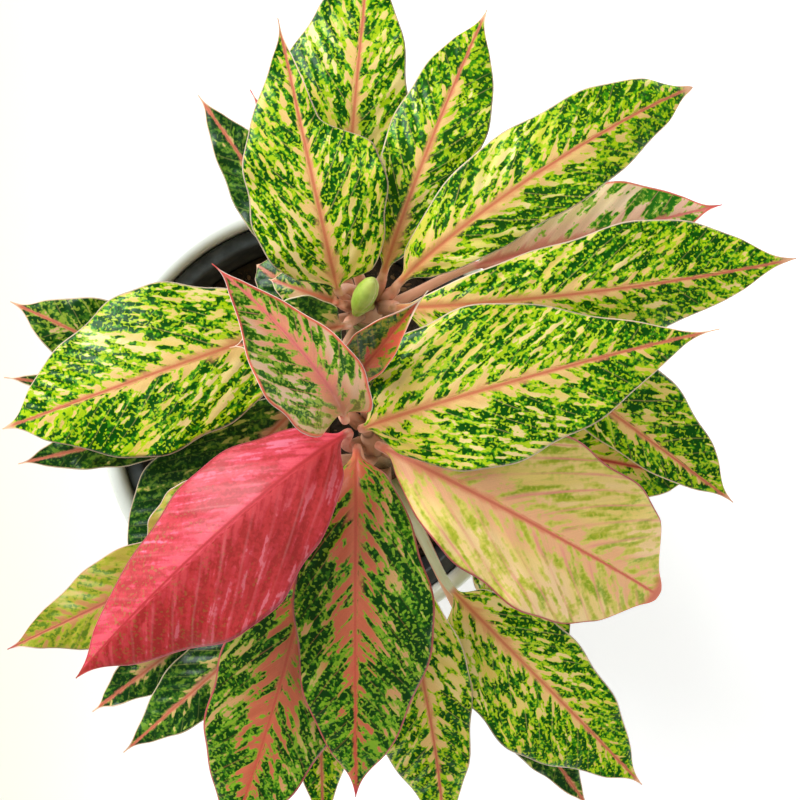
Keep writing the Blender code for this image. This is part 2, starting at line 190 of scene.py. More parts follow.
class Bench:
    """The node tree of one finish, on which its nodes are laid out."""

    def __init__(self, name: str) -> None:
        """Start an empty material."""
        self.material = bpy.data.materials.new(name)
        self.material.use_nodes = True
        self.tree = self.material.node_tree
        self.tree.nodes.clear()

    def node(
        self,
        kind: str,
        settings: Mapping[str, object],
        sockets: Mapping[Union[str, int], Input],
        output: Union[str, int] = 0,
    ) -> Wire:
        """Add a node.

        Args:
            kind: The node's type.
            settings: What is set on the node itself, first of all.
            sockets: The values or wires of its inputs.
            output: Which output is wanted.

        Returns:
            That output.
        """
        made = self.tree.nodes.new(kind)
        for name, value in settings.items():
            setattr(made, name, value)
        for name, value in sockets.items():
            if isinstance(value, Wire):
                self.tree.links.new(value.socket, made.inputs[name])
            else:
                made.inputs[name].default_value = value
        return Wire(self, made.outputs[output])

    def attribute(self, name: str) -> tuple[Wire, Wire, Wire]:
        """Read a mesh attribute of three numbers."""
        settings = {"attribute_name": name, "attribute_type": "GEOMETRY"}
        return self.node("ShaderNodeAttribute", settings, {}, "Vector").parts()

    def vector(self, x: Input, y: Input, z: Input) -> Wire:
        """Join three numbers."""
        return self.node("ShaderNodeCombineXYZ", {}, {0: x, 1: y, 2: z})

    def noise(self, place: Wire, scale: float = 1.0, detail: float = 2.0, rough: float = 0.5) -> Wire:
        """Read soft noise.

        Args:
            place: Where to read it.
            scale: How many bumps lie in one unit.
            detail: How many finer layers it has.
            rough: How strong these are.

        Returns:
            A value about 0.5.
        """
        sockets = {"Vector": place, "Scale": scale, "Detail": detail, "Roughness": rough}
        return self.node("ShaderNodeTexNoise", {}, sockets)

    def mix(self, share: Input, first: Input, second: Input, blend: Blend = Blend.COVER) -> Wire:
        """Mix two colours.

        Args:
            share: How much of the second shows.
            first: The colour below.
            second: The colour above.
            blend: How the second is laid on.

        Returns:
            The mixed colour.
        """
        settings = {"data_type": "RGBA", "blend_type": blend.value}
        return self.node("ShaderNodeMix", settings, {0: share, 6: first, 7: second}, 2)

    def object_place(self) -> Wire:
        """Read the place on the piece, in metres."""
        return self.node("ShaderNodeTexCoord", {}, {}, "Object")

    def finish(
        self, sockets: Mapping[Union[str, int], Input], height: Union[Wire, None] = None
    ) -> bpy.types.Material:
        """Close the tree with one Principled shader.

        Args:
            sockets: The shader's values and wires.
            height: Relief in metres, if there is any.

        Returns:
            The material.
        """
        filled = dict(sockets)
        if height is not None:
            bump = {"Strength": 1.0, "Distance": 1.0, "Height": height}
            filled["Normal"] = self.node("ShaderNodeBump", {}, bump)
        shader = self.node("ShaderNodeBsdfPrincipled", {}, filled)
        end = self.tree.nodes.new("ShaderNodeOutputMaterial")
        self.tree.links.new(shader.socket, end.inputs["Surface"])
        return self.material


@dataclass(frozen=True)
class BladeFinish:
    """The living surface of one leaf, from its ground colour up to its margin.

    The green net runs from lime over green to dark, with lime dots in it. Lobed patches of cream,
    each with a lime rim, lie over the net along the side veins: patch_cover is their share, and
    fewer lie towards the tip. Fingers of the heart colour reach out from the midrib. soft blurs
    every outline, grain widens the pattern, and stretch draws it out along the side veins. dots is
    the strength of the lime dots, depth darkens the net, vein_bend curves the side veins towards
    the tip, and fleck_share and left_shade are the strengths of the flecks and of the painted shade
    on the left half, which is turned away from the light. Colours lie in the order in which they
    are laid on, and sizes are in metres.
    """

    slot: str = "leaf_cream"
    dark: Colour = paint(6, 76, 0)
    green: Colour = paint(60, 140, 0)
    lime: Colour = paint(174, 204, 6)
    dots: float = 0.8
    depth: float = 0.05
    cream: Colour = paint(240, 212, 144)
    cream_tint: Colour = paint(226, 196, 92)
    patch_cover: float = 0.34
    tip_cover: float = 0.10
    heart: Colour = paint(234, 192, 118)
    finger_reach: float = 0.013
    finger_cover: float = 0.5
    soft: float = 1.0
    grain: float = 1.0
    stretch: float = 1.0
    rib: Colour = paint(218, 150, 96)
    rib_core: Colour = paint(200, 104, 72)
    rib_tip: Colour = paint(222, 124, 98)
    rib_width: float = 0.0032
    feather: float = 0.006
    side_vein: Colour = paint(230, 196, 120)
    side_vein_share: float = 0.35
    side_vein_gap: float = 0.0105
    side_vein_width: float = 0.0007
    vein_reach: float = 0.034
    vein_bend: float = 0.0
    base: Colour = paint(160, 132, 70)
    base_share: float = 0.0
    edge: Colour = paint(240, 200, 160)
    edge_width: float = 0.0006
    tip_colour: Colour = paint(236, 180, 140)
    left_shade: float = 0.0
    fleck: Colour = paint(120, 146, 50)
    fleck_share: float = 0.0
    outline: Colour = paint(240, 216, 190)
    under: Colour = paint(148, 172, 104)
    stalk: Colour = paint(244, 182, 152)
    # The petiole's colour at its foot: partly the older sheath's own brown, partly painted shade for the dark inside
    # of the crown.
    stalk_foot_brown_and_shade: Colour = paint(172, 130, 98)
    gloss: float = 0.31

    # The colour that multiplies the left half: painted shade for a half turned away from the light.
    SHADE = (0.70, 0.50, 0.36, 1.0)
    SPECULAR = 0.3
    NET_SCALE = 500.0
    DOT_SCALE = 680.0
    DOT_LEVEL = 0.575
    HAIR_SCALE = 2300.0
    PORE_SCALE = 2200.0

    def build(self, name: str) -> bpy.types.Material:
        """Build the material.

        Args:
            name: The material's name.

        Returns:
            The material.
        """
        skin = BladeSkin(Bench(name), self)
        colour = skin.patches(skin.net())
        colour = skin.flecks(colour)
        colour = skin.side_veins(colour)
        colour, core = skin.midrib(colour)
        colour = skin.margin(colour)
        return skin.close(colour, core)


class BladeSkin:
    """One leaf's finish in the making: the places on its blade, and the noises that its layers share."""

    def __init__(self, bench: Bench, finish: BladeFinish) -> None:
        """Read the blade's places and lay out the shared noises."""
        self.bench, self.finish = bench, finish
        self.lat, self.run, self.seed = bench.attribute("vein")
        self.along, self.aside, self.edge = bench.attribute("place")
        self.share, self.across, self.top = bench.attribute("share")
        self.fine = 1.0 / finish.grain
        self.long = self.fine / finish.stretch
        self.tint = self.veined(34, 14, 3.0, 3.0)
        self.spot = self.speckled(finish.NET_SCALE * self.fine, 0.0, 0.8)
        self.dot = self.speckled(finish.DOT_SCALE * self.fine, 31.0, 0.5)
        self.drift = self.veined(180 * self.fine, 155 * self.long, 7.0, 1.0)
        self.broad = self.veined(60, 28, 17.0, 1.0)

    def veined(self, lat_scale: float, run_scale: float, offset: float, detail: float) -> Wire:
        """Read noise that is drawn out along the side veins.

        Args:
            lat_scale: How many bumps lie across the side veins in one metre.
            run_scale: How many lie along them.
            offset: What sets this noise apart from the leaf's others.
            detail: How many finer layers it has.

        Returns:
            A value about 0.5.
        """
        place = self.bench.vector(self.lat * lat_scale, self.run * run_scale, self.seed + offset)
        return self.bench.noise(place, 1.0, detail)

    def speckled(self, scale: float, offset: float, detail: float) -> Wire:
        """Read noise that is the same in every direction.

        Args:
            scale: How many bumps lie in one metre.
            offset: What sets this noise apart from the leaf's others.
            detail: How many finer layers it has.

        Returns:
            A value about 0.5.
        """
        place = self.bench.vector(self.along * scale, self.aside * scale, self.seed + offset)
        return self.bench.noise(place, 1.0, detail)

    def net(self) -> Wire:
        """Lay the net from lime over green to dark, with lime dots in it."""
        f, bench = self.finish, self.bench
        level = (self.spot - 0.5) * 0.8 + (self.drift - 0.5) * 0.9 + (self.broad - 0.5) * 0.5 + f.depth
        net = bench.mix(level.ramp(-0.14 * f.soft, -0.04), f.lime, f.green)
        net = bench.mix(level.ramp(0.0, 0.10 * f.soft), net, f.dark)
        dots = self.dot.ramp(f.DOT_LEVEL, f.DOT_LEVEL + 0.05 * f.soft) * f.dots
        return bench.mix(dots, net, f.lime)

    def patches(self, net: Wire) -> Wire:
        """Lay the cream patches and the fingers of the heart colour over the net."""
        f, bench = self.finish, self.bench
        lobe = self.veined(200 * self.fine, 160 * self.long, 11.0, 1.6)
        fray = self.speckled(430 * self.fine, 13.0, 1.0)
        patch = (lobe - 0.5) + (fray - 0.5) * 0.34 + (0.5 - self.drift) * 0.42 - (self.broad - 0.5) * 0.5
        patch = patch + (f.patch_cover - 0.5) * 0.55 - self.share.ramp(0.35, 1.0) * f.tip_cover
        patch = patch + (1.0 - self.share.ramp(0.0, 0.30)) * 0.05
        reach = 1.0 - self.aside.ramp(0.0, f.finger_reach)
        fading = self.share.ramp(0.5, 1.0) * 0.22
        finger = (self.veined(175, 24, 23.0, 2.0) - 0.5) * 1.25 + (lobe - 0.5) * 0.5
        finger = finger + (reach - 0.94) * 0.42 - fading + (f.finger_cover - 0.5) * 0.3 + (fray - 0.5) * 0.3
        pale = patch.most(finger)
        body = bench.mix(self.tint.ramp(0.35, 0.65), f.cream, f.cream_tint)
        body = bench.mix((reach * 1.5 + (self.tint - 0.5)).ramp(0.1, 1.1), body, f.heart)
        colour = bench.mix(pale.ramp(-0.075 * f.soft, -0.035), net, f.lime)
        return bench.mix(pale.ramp(-0.02 * f.soft, 0.025 * f.soft), colour, body)

    def flecks(self, colour: Wire) -> Wire:
        """Lay flecks towards the tip, and paint shade on the left half, where the finish asks for them."""
        f, bench = self.finish, self.bench
        if f.fleck_share > 0.0:
            near_tip = (self.share + self.drift - 0.5).ramp(0.45, 0.8)
            colour = bench.mix(self.dot.ramp(0.60, 0.66) * near_tip * f.fleck_share, colour, f.fleck)
        # Painted shade: the left half is darkened as if it were turned away from the light.
        if f.left_shade > 0.0:
            colour = bench.mix(self.across.ramp(0.0, 0.06) * f.left_shade, colour, f.SHADE, Blend.MULTIPLY)
        return colour

    def side_veins(self, colour: Wire) -> Wire:
        """Draw the side veins, which fade towards the margin and the tip."""
        f = self.finish
        bent = self.lat - self.aside * self.aside * f.vein_bend + (self.tint - 0.5) * 0.012
        lane = abs((bent / f.side_vein_gap).fraction() - 0.5) * f.side_vein_gap
        lines = (1.0 - lane.ramp(0.0, f.side_vein_width)) * self.aside.ramp(0.001, 0.005) * f.side_vein_share
        lines = lines * (0.35 + self.broad.ramp(0.4, 0.6) * 0.65)
        lines = lines * (1.0 - self.aside.ramp(f.vein_reach * 0.4, f.vein_reach))
        return self.bench.mix(lines * (1.0 - self.share.ramp(0.5, 1.0) * 0.6), colour, f.side_vein)

    def midrib(self, colour: Wire) -> tuple[Wire, Wire]:
        """Draw the midrib.

        Args:
            colour: The colour so far.

        Returns:
            The colour with the midrib, and the share of the midrib's dark core.
        """
        f, bench = self.finish, self.bench
        taper = 1.0 - self.share.ramp(-0.3, 0.9) * 0.86
        tongue = bench.noise(bench.vector(self.lat * 150, self.seed + 5.0, 0.0), 1.0, 2.0).ramp(0.42, 0.72)
        wing = taper * f.rib_width + tongue * taper * f.feather
        grit = bench.noise(bench.vector(self.along * 900, self.aside * 2400, self.seed + 41.0), 1.0, 2.0)
        ribbed = 1.0 - (self.aside + (grit - 0.5) * 0.0014).ramp(wing * 0.3, wing + 0.0006)
        rib = bench.mix(self.share.ramp(0.3, 0.9), f.rib, f.rib_tip)
        colour = bench.mix(ribbed * 0.9, colour, rib)
        core = (1.0 - self.aside.ramp(0.0002, taper * 0.0013 + 0.0003)) * (0.55 + grit * 0.4)
        return bench.mix(core, colour, f.rib_core), core

    def margin(self, colour: Wire) -> Wire:
        """Tint the base, and draw the margin, its thin outline and the tip."""
        f, bench = self.finish, self.bench
        if f.base_share > 0.0:
            colour = bench.mix((1.0 - self.share.ramp(0.04, 0.3)) * f.base_share, colour, f.base)
        margin = bench.mix(self.share.ramp(0.6, 0.9), f.edge, f.tip_colour)
        colour = bench.mix(1.0 - self.edge.ramp(f.edge_width * 0.5, f.edge_width * 1.3), colour, margin)
        colour = bench.mix(1.0 - self.edge.ramp(0.0002, 0.0005), colour, f.outline)
        return bench.mix(self.share.ramp(0.94, 0.98), colour, f.tip_colour)

    def close(self, colour: Wire, core: Wire) -> bpy.types.Material:
        """Add hairs and pores, the underside and the petiole, and close the material.

        Args:
            colour: The upper side's colour.
            core: The share of the midrib's dark core.

        Returns:
            The material.
        """
        f, bench = self.finish, self.bench
        hair = bench.noise(bench.vector(self.lat * f.HAIR_SCALE, self.run * 60, self.seed), 1.0, 1.0)
        pore = self.speckled(f.PORE_SCALE, 0.0, 2.0)
        bloom = hair * 0.18 + pore * 0.26 + 0.79
        colour = bench.mix(1.0, colour, bench.vector(bloom, bloom, bloom), Blend.MULTIPLY)
        beneath = bench.mix(core * 0.5, bench.mix(0.62, colour, f.under), f.rib)
        colour = bench.mix(self.top, beneath, colour)
        place = bench.vector(self.along * 160, self.across * 3.0, self.seed + 9.0)
        # The petiole darkens towards its foot: the older sheath's own brown, and painted shade where the crown shadows
        # it.
        stalk = bench.mix(self.share.ramp(-0.95, -0.55), f.stalk_foot_brown_and_shade, f.stalk)
        stalk = bench.mix(bench.noise(place, 1.0, 3.0).ramp(0.52, 0.7) * 0.35, stalk, f.rib)
        colour = bench.mix(1.0 - self.share.ramp(-0.045, 0.02), colour, stalk)
        rough = f.gloss + (self.tint - 0.5) * 0.16 + (1.0 - self.top) * 0.22
        height = hair * 0.00003 + self.spot * 0.00010 + pore * 0.00004
        return bench.finish({"Base Color": colour, "Roughness": rough, "Specular IOR Level": f.SPECULAR}, height)


CREAM = BladeFinish()
# A greener copy of the cream finish with fewer patches, its colours also darkened as painted shade for the low leaves
# under the crown.
DEEP = replace(
    CREAM, slot="leaf_deep", dark=paint(16, 58, 14), green=paint(44, 94, 22), lime=paint(104, 142, 36),
    depth=0.10, dots=0.5, cream=paint(206, 190, 100), cream_tint=paint(180, 186, 80), patch_cover=0.14,
    heart=paint(214, 178, 110), finger_cover=0.3, rib=paint(212, 146, 112), side_vein=paint(170, 176, 90),
    edge=paint(206, 190, 130), under=paint(96, 132, 74),
)
ROSE = replace(
    CREAM, slot="leaf_rose", dark=paint(14, 62, 6), green=paint(50, 114, 10), lime=paint(128, 170, 36),
    depth=0.09, cream=paint(210, 150, 104), cream_tint=paint(190, 178, 96), patch_cover=0.30,
    heart=paint(202, 106, 74), finger_reach=0.024, finger_cover=0.58, stretch=1.5, rib=paint(208, 112, 80),
    rib_core=paint(196, 86, 66), rib_width=0.0026, feather=0.0085, rib_tip=paint(206, 84, 66),
    outline=paint(214, 110, 104), edge=paint(206, 84, 80), edge_width=0.0009, side_vein=paint(208, 120, 90),
    tip_colour=paint(196, 70, 74),
)
PINK = replace(
    CREAM, slot="leaf_pink", dark=paint(34, 96, 10), green=paint(76, 142, 24), lime=paint(166, 196, 66),
    cream=paint(244, 206, 170), cream_tint=paint(240, 166, 130), patch_cover=0.40,
    heart=paint(240, 158, 124), finger_reach=0.016, finger_cover=0.72, stretch=1.5,
    rib=paint(238, 140, 130), rib_core=paint(232, 120, 116), rib_width=0.0034, feather=0.0105,
    rib_tip=paint(236, 130, 120), outline=paint(250, 226, 206), edge=paint(238, 112, 88), edge_width=0.0022,
    side_vein=paint(240, 150, 138), tip_colour=paint(232, 96, 90), side_vein_share=0.7,
)
OLIVE = replace(
    CREAM, slot="leaf_olive", dark=paint(96, 126, 20), green=paint(142, 156, 24), lime=paint(166, 166, 44),
    soft=1.8, cream=paint(186, 170, 66), cream_tint=paint(190, 150, 78), patch_cover=0.50,
    heart=paint(190, 132, 78), finger_cover=0.55, rib=paint(184, 100, 72), rib_core=paint(168, 84, 62),
    side_vein=paint(196, 140, 90), edge=paint(196, 112, 92), tip_colour=paint(176, 74, 62), gloss=0.42,
)
PEACH = replace(
    CREAM, slot="leaf_peach", dark=paint(150, 172, 30), green=paint(184, 188, 52), lime=paint(222, 208, 98),
    soft=2.4, dots=0.5, depth=-0.03, cream=paint(252, 214, 158), cream_tint=paint(240, 212, 116),
    patch_cover=0.50, tip_cover=0.0, heart=paint(246, 186, 134), finger_reach=0.020, finger_cover=0.5,
    rib=paint(232, 142, 104), rib_core=paint(212, 104, 80), rib_tip=paint(222, 108, 88), feather=0.0045,
    side_vein=paint(240, 152, 134), side_vein_share=0.9, side_vein_gap=0.0175, side_vein_width=0.0024,
    vein_reach=0.07, vein_bend=9.0, edge=paint(232, 92, 100), edge_width=0.0009,
    outline=paint(240, 130, 130), tip_colour=paint(220, 120, 92), gloss=0.42, grain=1.1, stretch=1.7,
)
# The red leaf's left half carries painted shade, as that half faces away from the light.
RED = replace(
    CREAM, slot="leaf_red", dark=paint(184, 54, 58), green=paint(204, 62, 70), lime=paint(214, 70, 86),
    soft=2.0, dots=0.2, cream=paint(234, 128, 152), cream_tint=paint(220, 96, 116), patch_cover=0.24,
    tip_cover=0.0, heart=paint(228, 84, 98), finger_reach=0.02, finger_cover=0.3, rib=paint(208, 66, 70),
    rib_core=paint(176, 46, 52), rib_tip=paint(190, 60, 60), rib_width=0.0016, feather=0.0012,
    side_vein=paint(238, 160, 160), side_vein_share=0.14, side_vein_gap=0.0165, side_vein_width=0.0018,
    vein_reach=0.06, outline=paint(230, 90, 110), edge=paint(196, 52, 66), edge_width=0.0008,
    tip_colour=paint(170, 60, 50), left_shade=0.8, fleck_share=0.35, under=paint(206, 110, 104),
    stalk=paint(230, 150, 130), gloss=0.38, grain=0.9, stretch=2.4,
)
CUPPED = replace(PINK, base=paint(164, 140, 80), base_share=0.5, edge_width=0.0018, finger_cover=0.62)
PINKISH = replace(
    PINK, dark=paint(40, 124, 12), patch_cover=0.56, cream=paint(255, 218, 194),
    cream_tint=paint(246, 214, 150), heart=paint(252, 196, 170), edge_width=0.0012,
)
FURLED = replace(
    ROSE, dark=paint(24, 66, 4), green=paint(76, 112, 10), lime=paint(144, 138, 30), depth=0.0,
    cream=paint(206, 116, 76), cream_tint=paint(190, 96, 60), heart=paint(200, 84, 60), patch_cover=0.26,
    finger_cover=0.3, finger_reach=0.010, base=paint(120, 44, 26), base_share=0.5, edge=paint(226, 98, 66),
    edge_width=0.0012, outline=paint(240, 200, 170), tip_colour=paint(242, 230, 204),
)
FOLDED = replace(
    CREAM, slot="leaf_rose", rib=paint(204, 56, 66), rib_core=paint(180, 40, 52), rib_width=0.0036,
    under=paint(196, 92, 88),
)
# A darker copy of the cream finish: painted shade for leaves that lie low and under others.
SHADED = replace(
    CREAM, dark=paint(14, 62, 8), green=paint(56, 108, 14), lime=paint(142, 166, 44),
    cream=paint(210, 190, 120), cream_tint=paint(184, 172, 84), heart=paint(206, 164, 116),
    rib=paint(190, 126, 92), patch_cover=0.26,
)
PALE_STALK = replace(CREAM, stalk=paint(206, 206, 168), stalk_foot_brown_and_shade=paint(168, 170, 116))
YELLOW = replace(CREAM, dark=paint(24, 82, 6), cream=paint(246, 222, 156), cream_tint=paint(216, 210, 70))


@dataclass(frozen=True)
class Cane:
    """A cane: the node that it stands for, where it enters the soil, its top and its radius."""

    node: str
    entry: Pair
    top: Triple
    radius: float
    age: float = 0.5

    ENTRY_HEIGHT = 163.0
    BURIED = 22.0

    def axis(self) -> tuple[np.ndarray, np.ndarray]:
        """Give the buried end and the top."""
        entry = np.array((*self.entry, self.ENTRY_HEIGHT))
        top = np.array(self.top, float)
        heading = (top - entry) / np.linalg.norm(top - entry)
        return entry - heading * self.BURIED, top

    def point(self, height: float) -> np.ndarray:
        """Give the point of the axis at a height."""
        bottom, top = self.axis()
        return bottom + (top - bottom) * ((height - bottom[2]) / (top[2] - bottom[2]))


CANES = {
    "back": Cane("stem_back", (20, 44), (26, 54, 246), 7.2, 0.35),
    "front": Cane("stem_front", (44, -44), (24, -5, 258), 7.2, 0.9),
    "left": Cane("stem_left", (-34, 24), (-26, 30, 208), 6.2, 0.3),
    "corner": Cane("stem_corner", (-22, -36), (-16, -26, 206), 6.2, 0.4),
    "right": Cane("stem_right", (66, 4), (62, 8, 212), 5.8, 0.5),
}


def curve(handles: np.ndarray, t: np.ndarray) -> np.ndarray:
    """Read a cubic curve.

    Args:
        handles: Its four handles.
        t: Where to read it, from 0 to 1.

    Returns:
        The points.
    """
    t = np.asarray(t, float)[:, None]
    s = 1.0 - t
    return handles[0] * s**3 + handles[1] * (3 * s * s * t) + handles[2] * (3 * s * t * t) + handles[3] * t**3


def curve_heading(handles: np.ndarray, t: np.ndarray) -> np.ndarray:
    """Read a cubic curve's unit directions.

    Args:
        handles: Its four handles.
        t: Where to read it, from 0 to 1.

    Returns:
        The directions.
    """
    t = np.asarray(t, float)[:, None]
    s = 1.0 - t
    first, second, third = handles[1] - handles[0], handles[2] - handles[1], handles[3] - handles[2]
    return unit(first * (s * s) + second * (2 * s * t) + third * (t * t))


def unit(vectors: np.ndarray) -> np.ndarray:
    """Bring vectors to unit length."""
    return vectors / np.linalg.norm(vectors, axis=-1, keepdims=True)


def add_piece(
    name: str, node: str, mesh: bpy.types.Mesh, material: bpy.types.Material
) -> bpy.types.Object:
    """Make a piece that stands for a node of the frame.

    Args:
        name: The piece's name.
        node: The node that it stands for, or nothing for an extra piece.
        mesh: Its mesh, in metres.
        material: Its finish.

    Returns:
        The piece.
    """
    mesh.materials.append(material)
    mesh.shade_smooth()
    piece = bpy.data.objects.new(name, mesh)
    bpy.context.scene.collection.objects.link(piece)
    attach(piece, BODY)
    if node:
        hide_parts(node)
    return piece


def lattice(
    name: str, rings: np.ndarray, foot: bool = True, tip: Union[np.ndarray, None] = None
) -> bpy.types.Mesh:
    """Skin a stack of equal rings.

    Args:
        name: The mesh's name.
        rings: The points in metres, ring by ring.
        foot: Whether the first ring is closed with a face.
        tip: The point that the last ring runs to, or nothing to close it with a face.

    Returns:
        The mesh.
    """
    count, sides = rings.shape[:2]
    points = rings.reshape(-1, 3)
    if tip is not None:
        points = np.vstack([points, tip[None, :]])
    first = np.arange(sides)
    second = (first + 1) % sides
    faces = []
    for row in range(count - 1):
        low, high = row * sides, (row + 1) * sides
        faces += np.stack([low + first, low + second, high + second, high + first], 1).tolist()
    if foot:
        faces.append(first[::-1].tolist())
    last = (count - 1) * sides
    if tip is None:
        faces.append((last + first).tolist())
    else:
        faces += [[last + i, last + j, len(points) - 1] for i, j in zip(first.tolist(), second.tolist())]
    mesh = bpy.data.meshes.new(name)
    mesh.from_pydata(points.tolist(), [], faces)
    mesh.update()
    return mesh


def store(mesh: bpy.types.Mesh, name: str, values: np.ndarray) -> None:
    """Keep three numbers for each vertex.

    Args:
        mesh: The mesh.
        name: The attribute's name.
        values: The numbers, vertex by vertex.
    """
    layer = mesh.attributes.new(name, "FLOAT_VECTOR", "POINT")
    layer.data.foreach_set("vector", np.ascontiguousarray(values, dtype=np.float32).ravel())


@dataclass(frozen=True)
class LeafForm:
    """A petiole and its blade.

    foot is the height at which the petiole leaves its cane. base and tip are the midrib's ends.
    rise and droop are the midrib's slopes there, in degrees, and sweep bows it to its left.
    left and right are each half's width and its angle above level. belly is the widest place,
    skew parts the halves, and point makes the tip longer. wave is the height of the margin's
    waves on the left and the right half, waves how many there are, phase where they start, curl
    how far the tip turns up, roll narrows the right half near the tip, and quilt is the
    depth of the valleys along the side veins.
    """

    node: str
    cane: str
    foot: float
    base: Triple
    tip: Triple
    finish: BladeFinish = CREAM
    rise: float = 40.0
    droop: float = 20.0
    sweep: float = 0.0
    left: Pair = (30.0, -6.0)
    right: Pair = (30.0, -6.0)
    arc: float = 0.12
    belly: float = 0.40
    skew: float = 0.0
    point: float = 1.15
    wave: Pair = (2.4, 2.4)
    waves: float = 2.6
    phase: float = 0.0
    curl: float = 0.0
    roll: float = 0.0
    quilt: float = 0.7

    STALK_FOOT = 2.9
    STALK_NECK = 1.9
    LEAN = 24.0
    HANDLE = 0.35
    FOOT_HANDLE = 0.4
    NECK_HANDLE = 0.24
    OUTWARD = 0.12
    NECK = 0.07
    THICK = 0.9
    TIP_RADIUS = 0.28
    RIB_DROP = 1.5
    RIB_HALF = 1.7
    CHANNEL = 0.7
    ROWS = 132
    STALK_ROWS = 30
    COLUMNS = 37

    def blade_handles(self) -> np.ndarray:
        """Work out the midrib's four handles."""
        base, tip = np.array(self.base, float), np.array(self.tip, float)
        length = np.linalg.norm(tip - base)
        heading = unit(np.array((tip[0] - base[0], tip[1] - base[1], 0.0)))
        side = np.cross(UP, heading)
        rise, droop = math.radians(self.rise), math.radians(self.droop)
        reach = self.HANDLE * length
        start = base + (heading * math.cos(rise) + UP * math.sin(rise)) * reach + side * self.sweep
        end = tip - (heading * math.cos(droop) - UP * math.sin(droop)) * reach + side * self.sweep
        return np.array((base, start, end, tip))

    def stalk_handles(self) -> np.ndarray:
        """Work out the petiole's four handles."""
        base, start, _, tip = self.blade_handles()
        cane = CANES[self.cane]
        axis_point = cane.point(self.foot)
        outward = base + (tip - base) * self.OUTWARD - axis_point
        outward[2] = 0.0
        outward = unit(outward)
        lean = math.radians(self.LEAN)
        first = axis_point + outward * (cane.radius + GAP + self.STALK_FOOT)
        span = np.linalg.norm(base - first)
        second = first + (UP * math.cos(lean) + outward * math.sin(lean)) * (self.FOOT_HANDLE * span)
        third = base - unit(start - base) * (self.NECK_HANDLE * span)
        return np.array((first, second, third, base))

    def half_width(self, u: np.ndarray, is_left: bool) -> np.ndarray:
        """Work out one half's width along the blade.

        Args:
            u: Places along the blade.
            is_left: Which half.

        Returns:
            The widths.
        """
        belly = self.belly + (self.skew if is_left else -self.skew)
        bend = math.log(0.5) / math.log(belly)
        swell = np.clip(np.sin(math.pi * u**bend), 0.0, 1.0)
        share = swell ** (0.62 + (self.point - 0.62) * u)
        turn = self.phase + (0.0 if is_left else 2.4)
        share = share * (1.0 + 0.035 * np.sin(14.0 * u + turn) + 0.02 * np.sin(31.0 * u + 2.0 * turn))
        width = (self.left if is_left else self.right)[0] * share
        width = width * (1.0 - 0.5 * ease(u, 0.86, 0.97))
        if not is_left and self.roll:
            width = width * (1.0 - self.roll * ease(u, 0.52, 0.66))
        return width

    def section(self) -> tuple[np.ndarray, np.ndarray]:
        """List the cross-section's places, right to left above and back below, and which are above."""
        above = np.linspace(-1.0, 1.0, self.COLUMNS)
        below = above[-2:0:-1]
        across = np.concatenate([above, below])
        return across, np.concatenate([np.ones(len(above)), np.zeros(len(below))])

    def blade_rings(self) -> tuple[np.ndarray, ...]:
        """Work out the blade's rings.

        Returns:
            The points, the along, aside and edge distances, and the side veins' two places.
        """
        u = np.linspace(0.0, 0.996, self.ROWS)
        handles = self.blade_handles()
        centre, heading = curve(handles, u), curve_heading(handles, u)
        side = unit(np.cross(UP, heading))
        normal = np.cross(heading, side)
        v, above = self.section()
        out = np.abs(v)[None, :]
        is_left = (v > 0)[None, :]
        widths = np.where(is_left, self.half_width(u, True)[:, None], self.half_width(u, False)[:, None])
        least = self.TIP_RADIUS + (self.STALK_NECK - self.TIP_RADIUS) * (1.0 - ease(u, 0.02, 0.16))
        reach = np.maximum(widths, least[:, None])
        tilt = np.where(is_left, math.radians(self.left[1]), math.radians(self.right[1]))
        aside = reach * out
        edge = reach - aside
        steps = np.linalg.norm(np.diff(centre, axis=0), axis=1)
        along = np.concatenate([[0.0], np.cumsum(steps)])[:, None] + 0.0 * out
        lat = along - 1.1 * aside - 0.011 * aside**2 + np.where(is_left, 4.0, 0.0)
        flat = aside * np.cos(tilt) * np.sign(v)[None, :]
        lift = reach * (out * np.sin(tilt) + self.arc * (out - out * out))
        lift = lift + self.relief(u[:, None], v[None, :], aside, edge, lat)
        thick = self.THICK * (1.0 - 0.5 * u[:, None]) * (0.45 + 0.55 * ease(edge, 0.0, 3.0))
        rib = self.RIB_DROP * (1.0 - 0.75 * u[:, None]) * np.exp(-((aside / self.RIB_HALF) ** 2))
        lift = lift + np.where(above[None, :] > 0, 0.5 * thick, -0.5 * thick - rib) * (out < 1.0)
        points = centre[:, None, :] + side[:, None, :] * flat[..., None] + normal[:, None, :] * lift[..., None]
        angle = self.angles(v, above)
        round_ = centre[:, None, :] + self.STALK_NECK * (
            normal[:, None, :] * np.sin(angle)[None, :, None] - side[:, None, :] * np.cos(angle)[None, :, None]
        )
        neck = (1.0 - ease(u, 0.0, self.NECK))[:, None, None]
        return points * (1.0 - neck) + round_ * neck, along, aside, edge, lat

    @staticmethod
    def angles(v: np.ndarray, above: np.ndarray) -> np.ndarray:
        """Give each place of the cross-section its angle on a round stalk."""
        return np.where(above > 0, math.pi * (0.5 + 0.5 * v), math.pi * (1.5 - 0.5 * v))

